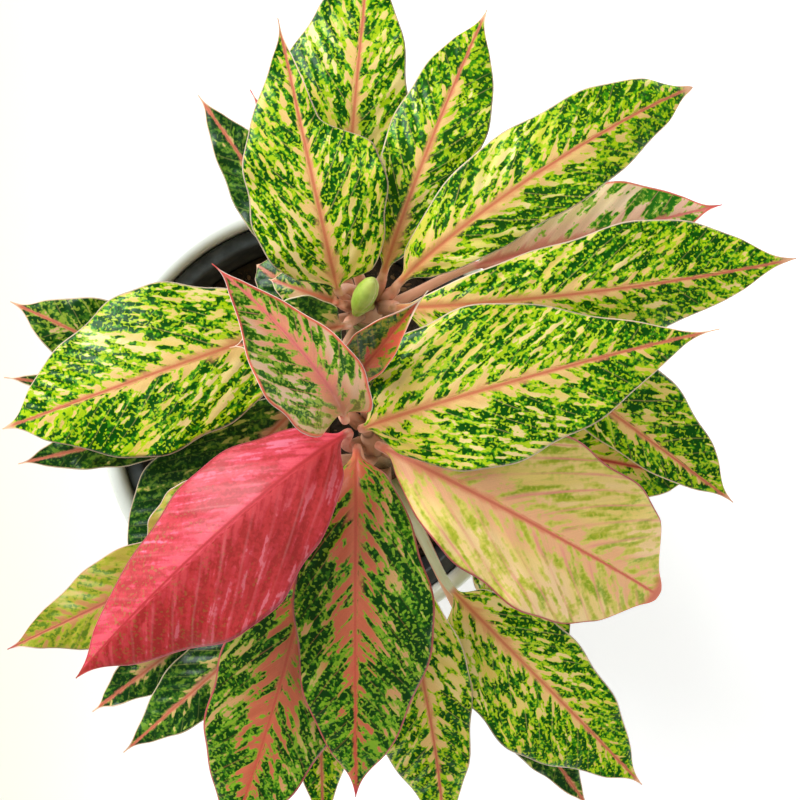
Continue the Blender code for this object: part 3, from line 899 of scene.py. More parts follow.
    def relief(
        self, u: np.ndarray, v: np.ndarray, aside: np.ndarray, edge: np.ndarray, lat: np.ndarray
    ) -> np.ndarray:
        """Work out how far the surface stands above its plain form.

        Args:
            u: Places along the blade.
            v: Places across it.
            aside: Distances from the midrib.
            edge: Distances from the margin.
            lat: Places along the row of side veins.

        Returns:
            The heights.
        """
        body = np.sin(math.pi * np.clip(u, 0.0, 1.0)) ** 0.7
        amount = np.where(v > 0, self.wave[0], self.wave[1])
        turn = 2.0 * math.pi * self.waves * u + self.phase + np.where(v > 0, 0.0, 2.1)
        ripple = amount * body * np.abs(v) ** 2.4 * (np.sin(turn) + 0.35 * np.sin(2.3 * turn + 1.0))
        valley = (0.5 + 0.5 * np.cos(2.0 * math.pi * lat * MM / self.finish.side_vein_gap)) ** 2
        quilt = -self.quilt * valley * ease(aside, 1.0, 7.0) * ease(edge, 0.0, 7.0)
        channel = -self.CHANNEL * (1.0 - 0.6 * u) * np.exp(-((aside / 1.5) ** 2))
        flick = self.curl * ease(u, 0.80, 1.0) ** 2
        return ripple + quilt + channel + flick

    def stalk_rings(self, heading: np.ndarray) -> tuple[np.ndarray, np.ndarray]:
        """Work out the petiole's rings, from its sheath up to the blade.

        Args:
            heading: The midrib's direction at its base.

        Returns:
            The points, and the distances down from the blade.
        """
        handles = self.stalk_handles()
        t = np.linspace(0.0, 1.0, self.STALK_ROWS, endpoint=False)
        centre, headings = curve(handles, t), curve_heading(handles, t)
        side = unit(np.cross(UP, heading))
        sides = np.zeros_like(centre)
        for row in reversed(range(self.STALK_ROWS)):
            side = side - headings[row] * np.dot(side, headings[row])
            side = side / np.linalg.norm(side)
            sides[row] = side
        normals = np.cross(headings, sides)
        v, above = self.section()
        angle = self.angles(v, above)[None, :]
        radius = self.STALK_FOOT + (self.STALK_NECK - self.STALK_FOOT) * t[:, None]
        sheath = 1.0 - ease(t, 0.0, 0.45)[:, None]
        groove = 1.0 - (0.10 + 0.25 * sheath) * np.exp(-(((angle - 0.5 * math.pi) / 0.6) ** 2))
        wide = 1.0 + 0.3 * sheath
        points = centre[:, None, :] - sides[:, None, :] * (radius * groove * wide * np.cos(angle))[..., None]
        points = points + normals[:, None, :] * (radius * groove * np.sin(angle))[..., None]
        axis_point = CANES[self.cane].point(self.foot)
        inward = (axis_point - centre[0]) * np.array((1.0, 1.0, 0.0))
        points = points + (inward * 0.5)[None, None, :] * (1.0 - ease(t, 0.0, 0.55))[:, None, None]
        lengths = np.linalg.norm(np.diff(np.vstack([centre, handles[3]]), axis=0), axis=1)
        down = -np.cumsum(lengths[::-1])[::-1][:, None] + 0.0 * angle
        return points, down

    def build(self, seed: int) -> bpy.types.Object:
        """Build the leaf as one piece.

        Args:
            seed: Which drift of blotches it gets.

        Returns:
            The piece.
        """
        points, along, aside, edge, lat = self.blade_rings()
        heading = curve_heading(self.blade_handles(), np.array([0.0]))[0]
        stalk, down = self.stalk_rings(heading)
        rings = np.concatenate([stalk, points]) * MM
        tip = curve(self.blade_handles(), np.array([1.0]))[0]
        last = points[-1].mean(axis=0)
        tip = last + unit(tip - points[-4].mean(axis=0)) * 0.5
        name = self.node + "_skin"
        mesh = lattice(name, rings, True, tip * MM)
        v, above = self.section()
        u = np.concatenate([down[:, 0] / -down[0, 0], np.linspace(0.0, 0.996, self.ROWS)])
        share = np.stack(np.broadcast_arrays(u[:, None], v[None, :], above[None, :]), -1)
        zero = np.zeros_like(down)
        place = np.stack([np.vstack([down, along]), np.vstack([zero, aside]), np.vstack([zero + 2.0, edge])], -1)
        vein = np.stack([np.vstack([down, lat]), np.vstack([zero, aside * 1.5]), np.full(place.shape[:2], 0.0)], -1)
        vein, place = vein * MM, place * MM
        vein[..., 2] = seed * 3.7 + (v > 0)[None, :] * 1.9
        for label, values in (("share", share), ("place", place), ("vein", vein)):
            flat = values.reshape(-1, 3)
            store(mesh, label, np.vstack([flat, flat[-1:]]))
        return add_piece(name, self.node, mesh, self.finish.build(self.node + "_finish"))


LEAVES = [
    # The front crown, highest of all, from its youngest leaf outward.
    LeafForm("leaf_cupped_top", "front", 254, (15, 3, 344), (-40, 67, 386), CUPPED, rise=62, droop=-12,
             sweep=-6, left=(31, 40), right=(22, 40), arc=-0.22, belly=0.37, skew=0.05, point=1.5, wave=(0.8, 0.8)),
    LeafForm("leaf_furled", "front", 252, (20, 19, 332), (52, 56, 372), FURLED, rise=62, droop=-40,
             left=(16, 38), right=(9, 30), arc=-0.1, belly=0.34, point=1.9, wave=(0.8, 0.8)),
    LeafForm("leaf_red", "front", 246, (14, -7, 322), (-109, -119, 298), RED, rise=52, droop=28,
             sweep=-7, left=(42, -10), right=(31, -32), belly=0.46, skew=0.04, wave=(3.4, 2.6), waves=2.2, quilt=0.5),
    LeafForm("leaf_right_upper", "front", 248, (25, -3, 325), (184, 41, 318), rise=52, droop=20,
             sweep=3, left=(37, -2), right=(35, -8), belly=0.38, skew=-0.04, point=1.6, phase=1.1, curl=2.0),
    LeafForm("leaf_peach", "front", 240, (33, -13, 304), (163, -84, 257), PEACH, rise=40, droop=42,
             sweep=3, left=(43, -6), right=(38, -8), belly=0.58, point=0.48, phase=2.0, quilt=1.2),
    LeafForm("leaf_front_pink", "front", 238, (20, -15, 292), (19, -180, 256), ROSE, rise=46, droop=32,
             left=(36, -8), right=(29, -8), belly=0.50, phase=0.6),
    LeafForm("leaf_front_right", "front", 224, (38, -71, 262), (62, -208, 212), rise=30, droop=30,
             sweep=5, left=(22, -6), right=(29, -6), belly=0.42, phase=2.6),
    LeafForm("leaf_corner_right", "front", 210, (66, -83, 244), (159, -180, 214), PALE_STALK, rise=32, droop=30,
             sweep=1, left=(25, -6), right=(35, -6), belly=0.44, phase=3.1),
    LeafForm("leaf_olive_flap", "front", 226, (-37, -27, 274), (-81, -69, 264), OLIVE, rise=34, droop=30,
             left=(12, -10), right=(17, -10), belly=0.5, phase=0.3),
    LeafForm("leaf_low_front", "front", 186, (84, -122, 206), (134, -194, 194), DEEP, rise=10, droop=22,
             left=(14, -6), right=(14, -6), phase=4.1),
    # The back crown.
    LeafForm("leaf_back_left", "back", 240, (11, 61, 298), (-15, 181, 322), rise=56, droop=-2,
             left=(32, -4), right=(32, 4), belly=0.40, point=1.4, phase=5.0, roll=0.62),
    LeafForm("leaf_back", "back", 226, (14, 90, 272), (26, 222, 272), rise=34, droop=24,
             left=(36, -6), right=(25, -6), belly=0.44, phase=0.9),
    LeafForm("leaf_back_narrow", "back", 243, (33, 69, 294), (80, 188, 300), YELLOW, rise=42, droop=10,
             sweep=2, left=(20, -4), right=(23, -8), belly=0.54, phase=1.7),
    LeafForm("leaf_back_right", "back", 237, (41, 64, 300), (176, 154, 286), YELLOW, rise=46, droop=42,
             sweep=7, left=(24, -4), right=(22, -16), belly=0.50, point=0.75, wave=(2.4, 2.2), phase=2.9),
    LeafForm("leaf_right_long", "back", 242, (40, 51, 304), (225, 75, 280), rise=48, droop=18,
             sweep=-6, left=(29, 0), right=(30, -24), belly=0.53, skew=0.09, phase=4.4),
    LeafForm("leaf_pink_right", "back", 212, (77, 73, 258), (192, 101, 266), PINKISH, rise=22, droop=6,
             left=(27, -4), right=(20, -4), phase=3.6),
    LeafForm("leaf_curled", "back", 240, (13, 43, 290), (-38, 33, 300), DEEP, rise=44, droop=6,
             left=(12, 24), right=(18, 24), point=1.5, wave=(0.8, 0.8)),
    LeafForm("leaf_inner", "back", 228, (10, 55, 264), (-22, 66, 262), SHADED, rise=36, droop=30,
             left=(12, -6), right=(15, -6), wave=(0.8, 0.8)),
    LeafForm("leaf_left_broad", "back", 216, (-11, 44, 262), (-150, -5, 250), rise=34, droop=24,
             left=(38, -6), right=(40, -6), belly=0.46, phase=5.6),
    LeafForm("leaf_back_dark", "back", 207, (2, 70, 246), (-56, 154, 256), DEEP, rise=30, droop=8,
             left=(16, -8), right=(17, -8), phase=2.2),
    LeafForm("leaf_back_sliver", "back", 184, (6, 88, 258), (-30, 154, 276), PINK, rise=26, droop=0,
             left=(8, -6), right=(8, -6), wave=(0.6, 0.6)),
    LeafForm("leaf_left_shaded", "back", 196, (-4, 11, 228), (-97, -80, 220), DEEP, rise=14, droop=16,
             left=(15, -6), right=(32, -6), belly=0.46, skew=-0.06, phase=1.3),
    # The low left cane.
    LeafForm("leaf_left_back", "left", 200, (-50, 12, 234), (-146, 56, 250), SHADED, rise=26, droop=4,
             left=(25, -4), right=(25, -4), phase=0.5),
    LeafForm("leaf_left_low", "left", 194, (-60, -2, 218), (-145, -22, 230), DEEP, rise=24, droop=10,
             left=(13, -4), right=(15, -4), phase=3.3),
    LeafForm("leaf_left_sliver", "left", 186, (-84, 12, 208), (-153, 20, 222), DEEP, rise=18, droop=4,
             left=(7, -4), right=(7, -4), wave=(0.6, 0.6)),
    LeafForm("leaf_pot_round", "left", 186, (-8, 60, 206), (-31, 76, 202), DEEP, rise=20, droop=30,
             left=(14, -4), right=(14, -4), point=0.7, wave=(0.6, 0.6)),
    # The low corner cane.
    LeafForm("leaf_front_left", "corner", 198, (-2, -66, 258), (-45, -210, 222), ROSE, rise=34, droop=28,
             sweep=4, left=(32, -6), right=(32, -6), belly=0.46, phase=1.9),
    LeafForm("leaf_olive", "corner", 194, (-42, -59, 250), (-149, -111, 240), OLIVE, rise=30, droop=22,
             left=(24, -6), right=(20, -6), phase=4.8),
    LeafForm("leaf_corner_dark", "corner", 187, (-17, -93, 236), (-95, -163, 222), DEEP, rise=26, droop=20,
             left=(18, -8), right=(18, -8), phase=2.4),
    LeafForm("leaf_corner_small", "corner", 174, (-49, -96, 222), (-111, -144, 214), DEEP, rise=20,
             droop=16, left=(14, -6), right=(14, -6), phase=0.2),
    LeafForm("leaf_front_small", "corner", 176, (0, -98, 216), (2, -205, 198), rise=24, droop=18,
             left=(17, -6), right=(17, -6), phase=5.3),
    # The low right cane.
    LeafForm("leaf_right_low", "right", 204, (90, 38, 266), (199, -40, 252), rise=26, droop=26,
             left=(29, -6), right=(14, -6), belly=0.5, phase=0.8),
    LeafForm("leaf_right_folded", "right", 198, (87, -10, 242), (184, -29, 238), FOLDED, rise=24, droop=14,
             left=(15, 20), right=(20, -6), belly=0.55, phase=3.9),
    LeafForm("leaf_under_peach", "right", 192, (78, -60, 220), (124, -112, 220), rise=24, droop=14,
             left=(18, -6), right=(17, -6), point=0.8, phase=1.5),
]


def around(radii: np.ndarray, heights: np.ndarray, steps: int) -> np.ndarray:
    """Spin a profile into rings.

    Args:
        radii: The profile's radii.
        heights: Its heights.
        steps: How many points each ring has.

    Returns:
        The rings.
    """
    angle = np.linspace(0.0, 2.0 * math.pi, steps, endpoint=False)
    circle = np.stack([np.cos(angle), np.sin(angle), 0.0 * angle], -1)
    upright = np.zeros((len(radii), steps, 3))
    upright[..., 2] = np.asarray(heights)[:, None]
    return circle[None] * np.asarray(radii)[:, None, None] + upright


def bow(centre: Pair, radius: float, first: float, last: float, steps: int) -> list[Pair]:
    """List the points of an arc in a profile.

    Args:
        centre: The arc's centre.
        radius: Its radius.
        first: Its first angle, in degrees.
        last: Its last angle.
        steps: How many pieces it has.

    Returns:
        The points.
    """
    angles = [math.radians(first + (last - first) * step / steps) for step in range(steps + 1)]
    return [(centre[0] + radius * math.cos(a), centre[1] + radius * math.sin(a)) for a in angles]


@dataclass
class Pots:
    """The pale planter and the dark nursery pot in it, in metres."""

    steps: int = 192
    floor: float = 6.0 * MM
    floor_radius: float = 79.0 * MM
    shoulder: float = 165.0 * MM
    band: float = 8.6 * MM
    foot_radius: float = 86.0 * MM
    foot_round: float = 2.5 * MM
    wall: float = 1.8 * MM
    lip_drop: float = 9.0 * MM
    pot_foot_radius: float = 74.0 * MM
    holes: int = 5
    hole_radius: float = 6.0 * MM
    hole_circle: float = 52.0 * MM

    def glaze(self) -> bpy.types.Material:
        """Build the planter's warm glaze, darker below the rim with painted shade, over a foot of bare clay."""
        bench = Bench("planter_glaze")
        place = bench.object_place()
        _, _, level = place.parts()
        cloud = bench.noise(place, 22.0, 3.0)
        speck = bench.noise(place, 900.0, 1.0)
        drip = bench.noise(place, 90.0, 4.0, 0.6)
        colour = bench.mix(cloud.ramp(0.3, 0.7), paint(236, 236, 226), paint(242, 242, 234))
        # Painted shade: the body below the rim is darker, as the planter's side lies in shade.
        shaded_body_colour = bench.mix(cloud.ramp(0.3, 0.7), paint(196, 193, 182), paint(205, 202, 192))
        colour = bench.mix(level.ramp(0.10, 0.183), shaded_body_colour, colour)
        colour = bench.mix(speck.ramp(0.72, 0.76) * 0.35, colour, paint(176, 164, 140))
        glazed = (level + (drip - 0.5) * 0.003).ramp(0.0045, 0.0052)
        colour = bench.mix(glazed, paint(176, 156, 130), colour)
        rough = 0.72 - glazed * 0.42 + cloud * 0.14
        height = drip * 0.00010 + speck * 0.00002
        return bench.finish({"Base Color": colour, "Roughness": rough, "Coat Weight": 0.15}, height)

    def plastic(self) -> bpy.types.Material:
        """Build the nursery pot's dark grained plastic, with dried water marks."""
        bench = Bench("nursery_plastic")
        place = bench.object_place()
        _, _, height = place.parts()
        grain = bench.noise(place, 2600.0, 2.0)
        mark = bench.noise(place, 60.0, 4.0, 0.6)
        band = height.ramp(0.150, 0.166) * (1.0 - height.ramp(0.168, 0.176))
        colour = bench.mix(mark.ramp(0.35, 0.7), paint(54, 57, 58), paint(86, 90, 92))
        colour = bench.mix(band * mark.ramp(0.45, 0.7) * 0.5, colour, paint(112, 106, 92))
        rough = 0.30 + mark * 0.2 + grain * 0.06
        return bench.finish({"Base Color": colour, "Roughness": rough}, grain * 0.00004)

    def planter(self) -> bpy.types.Object:
        """Turn the planter over its node's box."""
        low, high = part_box("planter")
        rim_radius, top = high.x, high.z
        half = self.band / 2.0
        lip = rim_radius - self.band
        walls = [self.floor + share * (self.shoulder - self.floor) for share in np.linspace(0.03, 1.0, 14)]
        inner = [
            (self.floor_radius + (lip - self.floor_radius) * (h - self.floor) / (self.shoulder - self.floor), h)
            for h in walls
        ]
        profile = [(0.002, self.floor), (self.floor_radius * 0.6, self.floor), (self.floor_radius - 0.004, self.floor)]
        profile += inner + bow((rim_radius - half, top - half), half, 180.0, 0.0, 18)
        for share in np.linspace(0.06, 0.94, 24):
            profile.append((
                rim_radius + (self.foot_radius - rim_radius) * share,
                (top - half) * (1.0 - share) + self.foot_round * share,
            ))
        profile += bow((self.foot_radius - self.foot_round, self.foot_round), self.foot_round, 0.0, -90.0, 6)
        profile.append((self.foot_radius * 0.5, low.z))
        profile.append((0.002, low.z))
        radii, heights = np.array(profile).T
        mesh = lattice("planter_skin", around(radii, heights, self.steps), True, None)
        return add_piece("planter_skin", "planter", mesh, self.glaze())

    def nursery_pot(self) -> bpy.types.Object:
        """Turn the nursery pot over its node's box and drill its drainage holes."""
        low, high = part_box("nursery_pot")
        lip, top, floor = high.x, high.z, low.z
        inner_top = lip - 8.6 * MM - self.wall / 2.0
        inner_foot = self.pot_foot_radius - self.wall
        walls = np.linspace(0.03, 0.975, 26)
        inner = [(inner_foot + (inner_top - inner_foot) * s, floor + (top - floor) * s) for s in walls]
        outer = [(r + self.wall, h) for r, h in reversed(inner[:-1])]
        profile = [(0.002, floor + self.wall), (inner_foot - 2.0 * MM, floor + self.wall)]
        profile += inner
        profile += bow((inner_top + 3.2 * MM, top - 2.4 * MM), 2.4 * MM, 160.0, 90.0, 6)
        profile += bow((lip - 2.2 * MM, top - 2.2 * MM), 2.2 * MM, 90.0, 0.0, 8)
        profile += [(lip - 0.7 * MM, top - self.lip_drop), (lip - 2.5 * MM, top - self.lip_drop)]
        profile += [(lip - 2.4 * MM, top - 2.9 * MM), (inner_top + 3.2 * MM, top - self.wall - 0.6 * MM)]
        profile += outer
        profile += bow((self.pot_foot_radius - 2.2 * MM, floor + 2.2 * MM), 2.2 * MM, 0.0, -90.0, 4)
        profile.append((0.002, floor))
        radii, heights = np.array(profile).T
        mesh = lattice("nursery_pot_skin", around(radii, heights, self.steps), True, None)
        piece = add_piece("nursery_pot_skin", "nursery_pot", mesh, self.plastic())
        self.drill(piece, floor)
        return piece

    def drill(self, piece: bpy.types.Object, floor: float) -> None:
        """Cut the drainage holes.

        Args:
            piece: The pot.
            floor: The height of its underside.
        """
        bm = bmesh.new()
        for hole in range(self.holes):
            angle = 2.0 * math.pi * hole / self.holes
            centre = Vector((math.cos(angle), math.sin(angle), 0.0)) * self.hole_circle
            made = bmesh.ops.create_cone(
                bm, cap_ends=True, segments=32, radius1=self.hole_radius, radius2=self.hole_radius, depth=0.02,
            )
            bmesh.ops.translate(bm, verts=made["verts"], vec=centre + Vector((0.0, 0.0, floor)))
        mesh = bpy.data.meshes.new("drill")
        bm.to_mesh(mesh)
        bm.free()
        cutter = bpy.data.objects.new("drill", mesh)
        bpy.context.scene.collection.objects.link(cutter)
        modifier = piece.modifiers.new("holes", "BOOLEAN")
        modifier.operation = "DIFFERENCE"
        modifier.solver = "EXACT"
        modifier.object = cutter
        bpy.context.view_layer.update()
        made = piece.evaluated_get(bpy.context.evaluated_depsgraph_get())
        piece.data = bpy.data.meshes.new_from_object(made)
        piece.modifiers.clear()
        bpy.data.objects.remove(cutter)

    def build(self) -> list[bpy.types.Object]:
        """Build both pots."""
        return [self.planter(), self.nursery_pot()]


@dataclass
class SoilBed:
    """The potting mix: its rough top, and the bark, peat and perlite crumbs that lie on it."""

    rings: int = 60
    steps: int = 160
    lump: float = 2.6 * MM
    crumbs: int = 900
    crumb_sizes: tuple[float, float] = (0.9 * MM, 3.4 * MM)
    white_share: float = 0.10

    def dirt(self) -> bpy.types.Material:
        """Build dark peat with brown fibres and pale specks."""
        bench = Bench("potting_mix")
        place = bench.object_place()
        clod = bench.noise(place, 120.0, 6.0, 0.7)
        fibre = bench.noise(place, 700.0, 4.0, 0.6)
        colour = bench.mix(clod.ramp(0.35, 0.65), paint(34, 26, 20), paint(66, 49, 36))
        colour = bench.mix(fibre.ramp(0.58, 0.7) * 0.7, colour, paint(112, 82, 56))
        return bench.finish({"Base Color": colour, "Roughness": 0.95}, clod * 0.002 + fibre * 0.0004)

    def crumb(self) -> bpy.types.Material:
        """Build the crumbs' bark and perlite, told apart by a stored shade."""
        bench = Bench("bark_crumbs")
        shade, _, _ = bench.attribute("shade")
        rough = bench.noise(bench.object_place(), 900.0, 4.0, 0.6)
        bark = bench.mix(shade.ramp(0.0, 0.9), paint(48, 34, 25), paint(128, 92, 62))
        bark = bench.mix(rough.ramp(0.5, 0.7) * 0.5, bark, paint(30, 22, 17))
        colour = bench.mix(shade.ramp(0.93, 0.95), bark, paint(214, 208, 194))
        return bench.finish({"Base Color": colour, "Roughness": 0.9}, rough * 0.0006)

    def __post_init__(self) -> None:
        """Read the bed's radius and its edge, middle and floor heights from its node."""
        low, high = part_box("soil")
        self.size = (high.x - 0.4 * MM, high.z - 6.0 * MM, high.z, low.z)

    def height(self, x: float, y: float) -> float:
        """Work out the bed's height at a place.

        Args:
            x: The place across.
            y: The place along.

        Returns:
            The height.
        """
        radius, edge, middle, _ = self.size
        share = min(math.hypot(x, y) / radius, 1.0)
        lumps = smooth_noise.fractal(Vector((x * 60.0, y * 60.0, 0.7)), 0.6, 2.0, 5)
        return middle - 1.2 * MM + (edge - middle) * share**2.2 + lumps * self.lump * 0.5

    def bed(self) -> bpy.types.Object:
        """Build the bed as one closed body."""
        radius, edge, _, floor = self.size
        shares = np.linspace(0.012, 1.0, self.rings)
        rings = around(shares * radius, 0.0 * shares, self.steps)
        for ring in rings:
            for point in ring:
                point[2] = self.height(point[0], point[1])
        foot_radius = 70.0 * MM
        radii = np.array([radius - 0.3 * MM, foot_radius, foot_radius * 0.5])
        heights = np.array([edge - 6.0 * MM, floor + 5.0 * MM, floor])
        below = around(radii, heights, self.steps)
        mesh = lattice("soil_skin", np.concatenate([rings, below]), True, None)
        return add_piece("soil_skin", "soil", mesh, self.dirt())

    def scatter(self) -> bpy.types.Object:
        """Scatter crumbs over the bed, clear of the canes."""
        rng = np.random.default_rng(11)
        radius = self.size[0] - 3.0 * MM
        feet = [np.array(cane.entry) * MM for cane in CANES.values()]
        bm = bmesh.new()
        shades = []
        while len(shades) < self.crumbs:
            x, y = rng.uniform(-radius, radius, 2)
            clear = min(np.hypot(*(np.array((x, y)) - foot)) for foot in feet)
            if math.hypot(x, y) > radius or clear < 9.0 * MM:
                continue
            size = rng.uniform(*self.crumb_sizes) * rng.uniform(0.5, 1.0)
            made = bmesh.ops.create_icosphere(bm, subdivisions=1, radius=1.0)
            white = rng.random() < self.white_share
            stretch = (1.0, 1.0, 0.9) if white else (1.3, rng.uniform(0.5, 0.9), 0.45)
            turn = rng.uniform(0.0, math.pi)
            for vert in made["verts"]:
                vert.co *= rng.uniform(0.75, 1.2)
                px, py, pz = (c * s * size for c, s in zip(vert.co, stretch))
                vert.co = (
                    x + px * math.cos(turn) - py * math.sin(turn),
                    y + px * math.sin(turn) + py * math.cos(turn),
                    self.height(x, y) + pz + size * 0.12,
                )
            shades.append((1.0 if white else rng.uniform(0.0, 0.9), len(made["verts"])))
        mesh = bpy.data.meshes.new("soil_crumbs")
        bm.to_mesh(mesh)
        bm.free()
        values = np.concatenate([np.full(count, shade) for shade, count in shades])
        store(mesh, "shade", np.stack([values] * 3, -1))
        piece = add_piece("soil_crumbs", "", mesh, self.crumb())
        mesh.shade_flat()
        return piece

    def build(self) -> list[bpy.types.Object]:
        """Build the bed and its crumbs."""
        return [self.bed(), self.scatter()]


@dataclass
class Canes:
    """The five canes, ringed by the scars of fallen leaves."""

    sides: int = 48
    rows: int = 150
    scars: int = 8
    scar_height: float = 0.55
    taper: float = 0.16

    def bark(self, cane: Cane) -> bpy.types.Material:
        """Build a cane's skin, green when young and brown when old.

        Args:
            cane: The cane.

        Returns:
            The material.
        """
        bench = Bench(cane.node + "_bark")
        share, scar, _ = bench.attribute("cane")
        place = bench.object_place()
        cork = bench.noise(place, 260.0, 5.0, 0.65)
        fleck = bench.noise(place, 1200.0, 2.0)
        young = bench.mix(cork.ramp(0.35, 0.65), paint(118, 128, 64), paint(146, 150, 88))
        old = bench.mix(cork.ramp(0.35, 0.65), paint(84, 56, 42), paint(124, 88, 62))
        colour = bench.mix(share.ramp(cane.age - 0.35, cane.age + 0.3), old, young)
        colour = bench.mix(share.ramp(0.72, 0.86), colour, paint(206, 158, 126))
        colour = bench.mix(scar * 0.75, colour, paint(92, 68, 46))
        colour = bench.mix(fleck.ramp(0.62, 0.7) * 0.4, colour, paint(196, 176, 140))
        return bench.finish({"Base Color": colour, "Roughness": 0.55 + cork * 0.3}, cork * 0.0006 + fleck * 0.0001)

    def build_one(self, cane: Cane) -> bpy.types.Object:
        """Build one cane.

        Args:
            cane: The cane.

        Returns:
            The piece.
        """
        bottom, top = cane.axis()
        heading = unit(top - bottom)
        side = unit(np.cross(heading, np.array((0.0, 1.0, 0.0))))
        other = np.cross(heading, side)
        share = np.linspace(0.0, 1.0, self.rows)
        phase = (share * self.scars + cane.entry[0] * 0.13) % 1.0
        scar = np.exp(-(((phase - 0.5) / 0.07) ** 2))
        swell = np.exp(-(((phase - 0.6) / 0.22) ** 2)) * 0.35
        radius = cane.radius * (1.0 - self.taper * share) + scar * self.scar_height + swell
        radius = radius * (1.0 - 0.7 * ease(share, 0.88, 1.0))
        angle = np.linspace(0.0, 2.0 * math.pi, self.sides, endpoint=False)
        circle = side[None, :] * np.cos(angle)[:, None] + other[None, :] * np.sin(angle)[:, None]
        centre = bottom[None, :] + (top - bottom)[None, :] * share[:, None]
        uneven = 1.0 + 0.03 * np.sin(angle * 3.0 + cane.entry[1])[None, :, None]
        rings = centre[:, None, :] + circle[None] * radius[:, None, None] * uneven
        wander = heading[None, None, :] * (0.5 * np.sin(angle * 2.0 + 1.0))[None, :, None]
        rings = rings + wander * scar[:, None, None]
        name = cane.node + "_skin"
        mesh = lattice(name, rings * MM, True, (top + heading * cane.radius * 0.4) * MM)
        values = np.stack([share, scar, 0.0 * share], -1)[:, None, :] * np.ones((1, self.sides, 1))
        store(mesh, "cane", np.vstack([values.reshape(-1, 3), values[-1, :1]]))
        return add_piece(name, cane.node, mesh, self.bark(cane))

    def build(self) -> list[bpy.types.Object]:
        """Build every cane."""
        return [self.build_one(cane) for cane in CANES.values()]


@dataclass
class FlowerBud:
    """The flower bud: a stalk and the rolled spathe on it."""

    sides: int = 64
    rows: int = 90
    neck: Triple = (20.0, 50.5, 290.0)
    end: Triple = (28.0, 63.0, 320.0)
    stalk_radius: float = 2.1
    profile: tuple[Pair, ...] = (
        (0.0, 2.1), (0.1, 3.3), (0.25, 4.6), (0.45, 5.3), (0.65, 5.1), (0.82, 4.1), (0.93, 2.7), (0.985, 1.3),
    )

    def sap(self) -> bpy.types.Material:
        """Build the spathe's waxy lime green, with a pale lip and faint ribs."""
        bench = Bench("bud_sap")
        share, turn, lip = bench.attribute("bud")
        ribs = bench.noise(bench.vector(turn * 60.0, share * 3.0, 0.0), 1.0, 2.0)
        cloud = bench.noise(bench.object_place(), 110.0, 3.0)
        colour = bench.mix(cloud.ramp(0.35, 0.65), paint(160, 194, 60), paint(196, 216, 96))
        colour = bench.mix(ribs.ramp(0.5, 0.75) * 0.35, colour, paint(206, 222, 126))
        colour = bench.mix(share.ramp(0.78, 1.0) * 0.6, colour, paint(214, 214, 120))
        colour = bench.mix(lip, colour, paint(240, 230, 176))
        colour = bench.mix(1.0 - share.ramp(-0.3, 0.02), colour, paint(176, 190, 96))
        return bench.finish({"Base Color": colour, "Roughness": 0.32 + cloud * 0.1}, ribs * 0.00025)

    def build(self) -> list[bpy.types.Object]:
        """Build the bud."""
        _, top = CANES["back"].axis()
        foot = top + np.array((0.0, 0.0, CANES["back"].radius * 0.3))
        neck, end = np.array(self.neck), np.array(self.end)
        handles = np.array((foot, foot + (neck - foot) * 0.4 + (1.0, 1.0, 4.0), neck - (1.5, 3.0, 10.0), neck))
        angle = np.linspace(0.0, 2.0 * math.pi, self.sides, endpoint=False)
        stalk_t = np.linspace(0.0, 0.97, 30)
        bud_t = np.linspace(0.0, 0.985, self.rows - 30)
        centre = np.vstack([curve(handles, stalk_t), neck + (end - neck) * bud_t[:, None]])
        heading = np.vstack([curve_heading(handles, stalk_t), np.repeat(unit(end - neck)[None], len(bud_t), 0)])
        spots, radii = np.array(self.profile).T
        radius = np.concatenate([np.full(30, self.stalk_radius), np.interp(bud_t, spots, radii)])
        share = np.concatenate([stalk_t - 1.0, bud_t])
        side = unit(np.cross(heading, np.array((0.0, 1.0, 0.0))))
        other = np.cross(heading, side)
        seam = 1.15 + 1.1 * np.clip(share, 0.0, 1.0)
        gap = (angle[None, :] - seam[:, None] + math.pi) % (2.0 * math.pi) - math.pi
        open_ = ease(share, 0.15, 0.6)[:, None]
        fold = open_ * (0.16 * np.exp(-((gap / 0.10) ** 2)) - 0.22 * np.exp(-(((gap - 0.22) / 0.16) ** 2)))
        wide = radius[:, None] * (1.0 + fold)
        circle = side[:, None, :] * np.cos(angle)[None, :, None] + other[:, None, :] * np.sin(angle)[None, :, None]
        rings = centre[:, None, :] + circle * wide[..., None]
        mesh = lattice("flower_bud_skin", rings * MM, True, end * MM)
        lip = open_ * np.exp(-(((gap - 0.02) / 0.09) ** 2))
        grid = np.ones((1, self.sides))
        values = np.stack([share[:, None] * grid, angle[None, :] / 6.2832 + 0.0 * share[:, None], lip], -1)
        store(mesh, "bud", np.vstack([values.reshape(-1, 3), values[-1, :1]]))
        return [add_piece("flower_bud_skin", "flower_bud", mesh, self.sap())]


@dataclass
class Foliage:
    """Every leaf of the plant."""

    first_seed: int = 3

    def build(self) -> list[bpy.types.Object]:
        """Build each leaf with its own drift of blotches."""
        return [leaf.build(self.first_seed + place) for place, leaf in enumerate(LEAVES)]


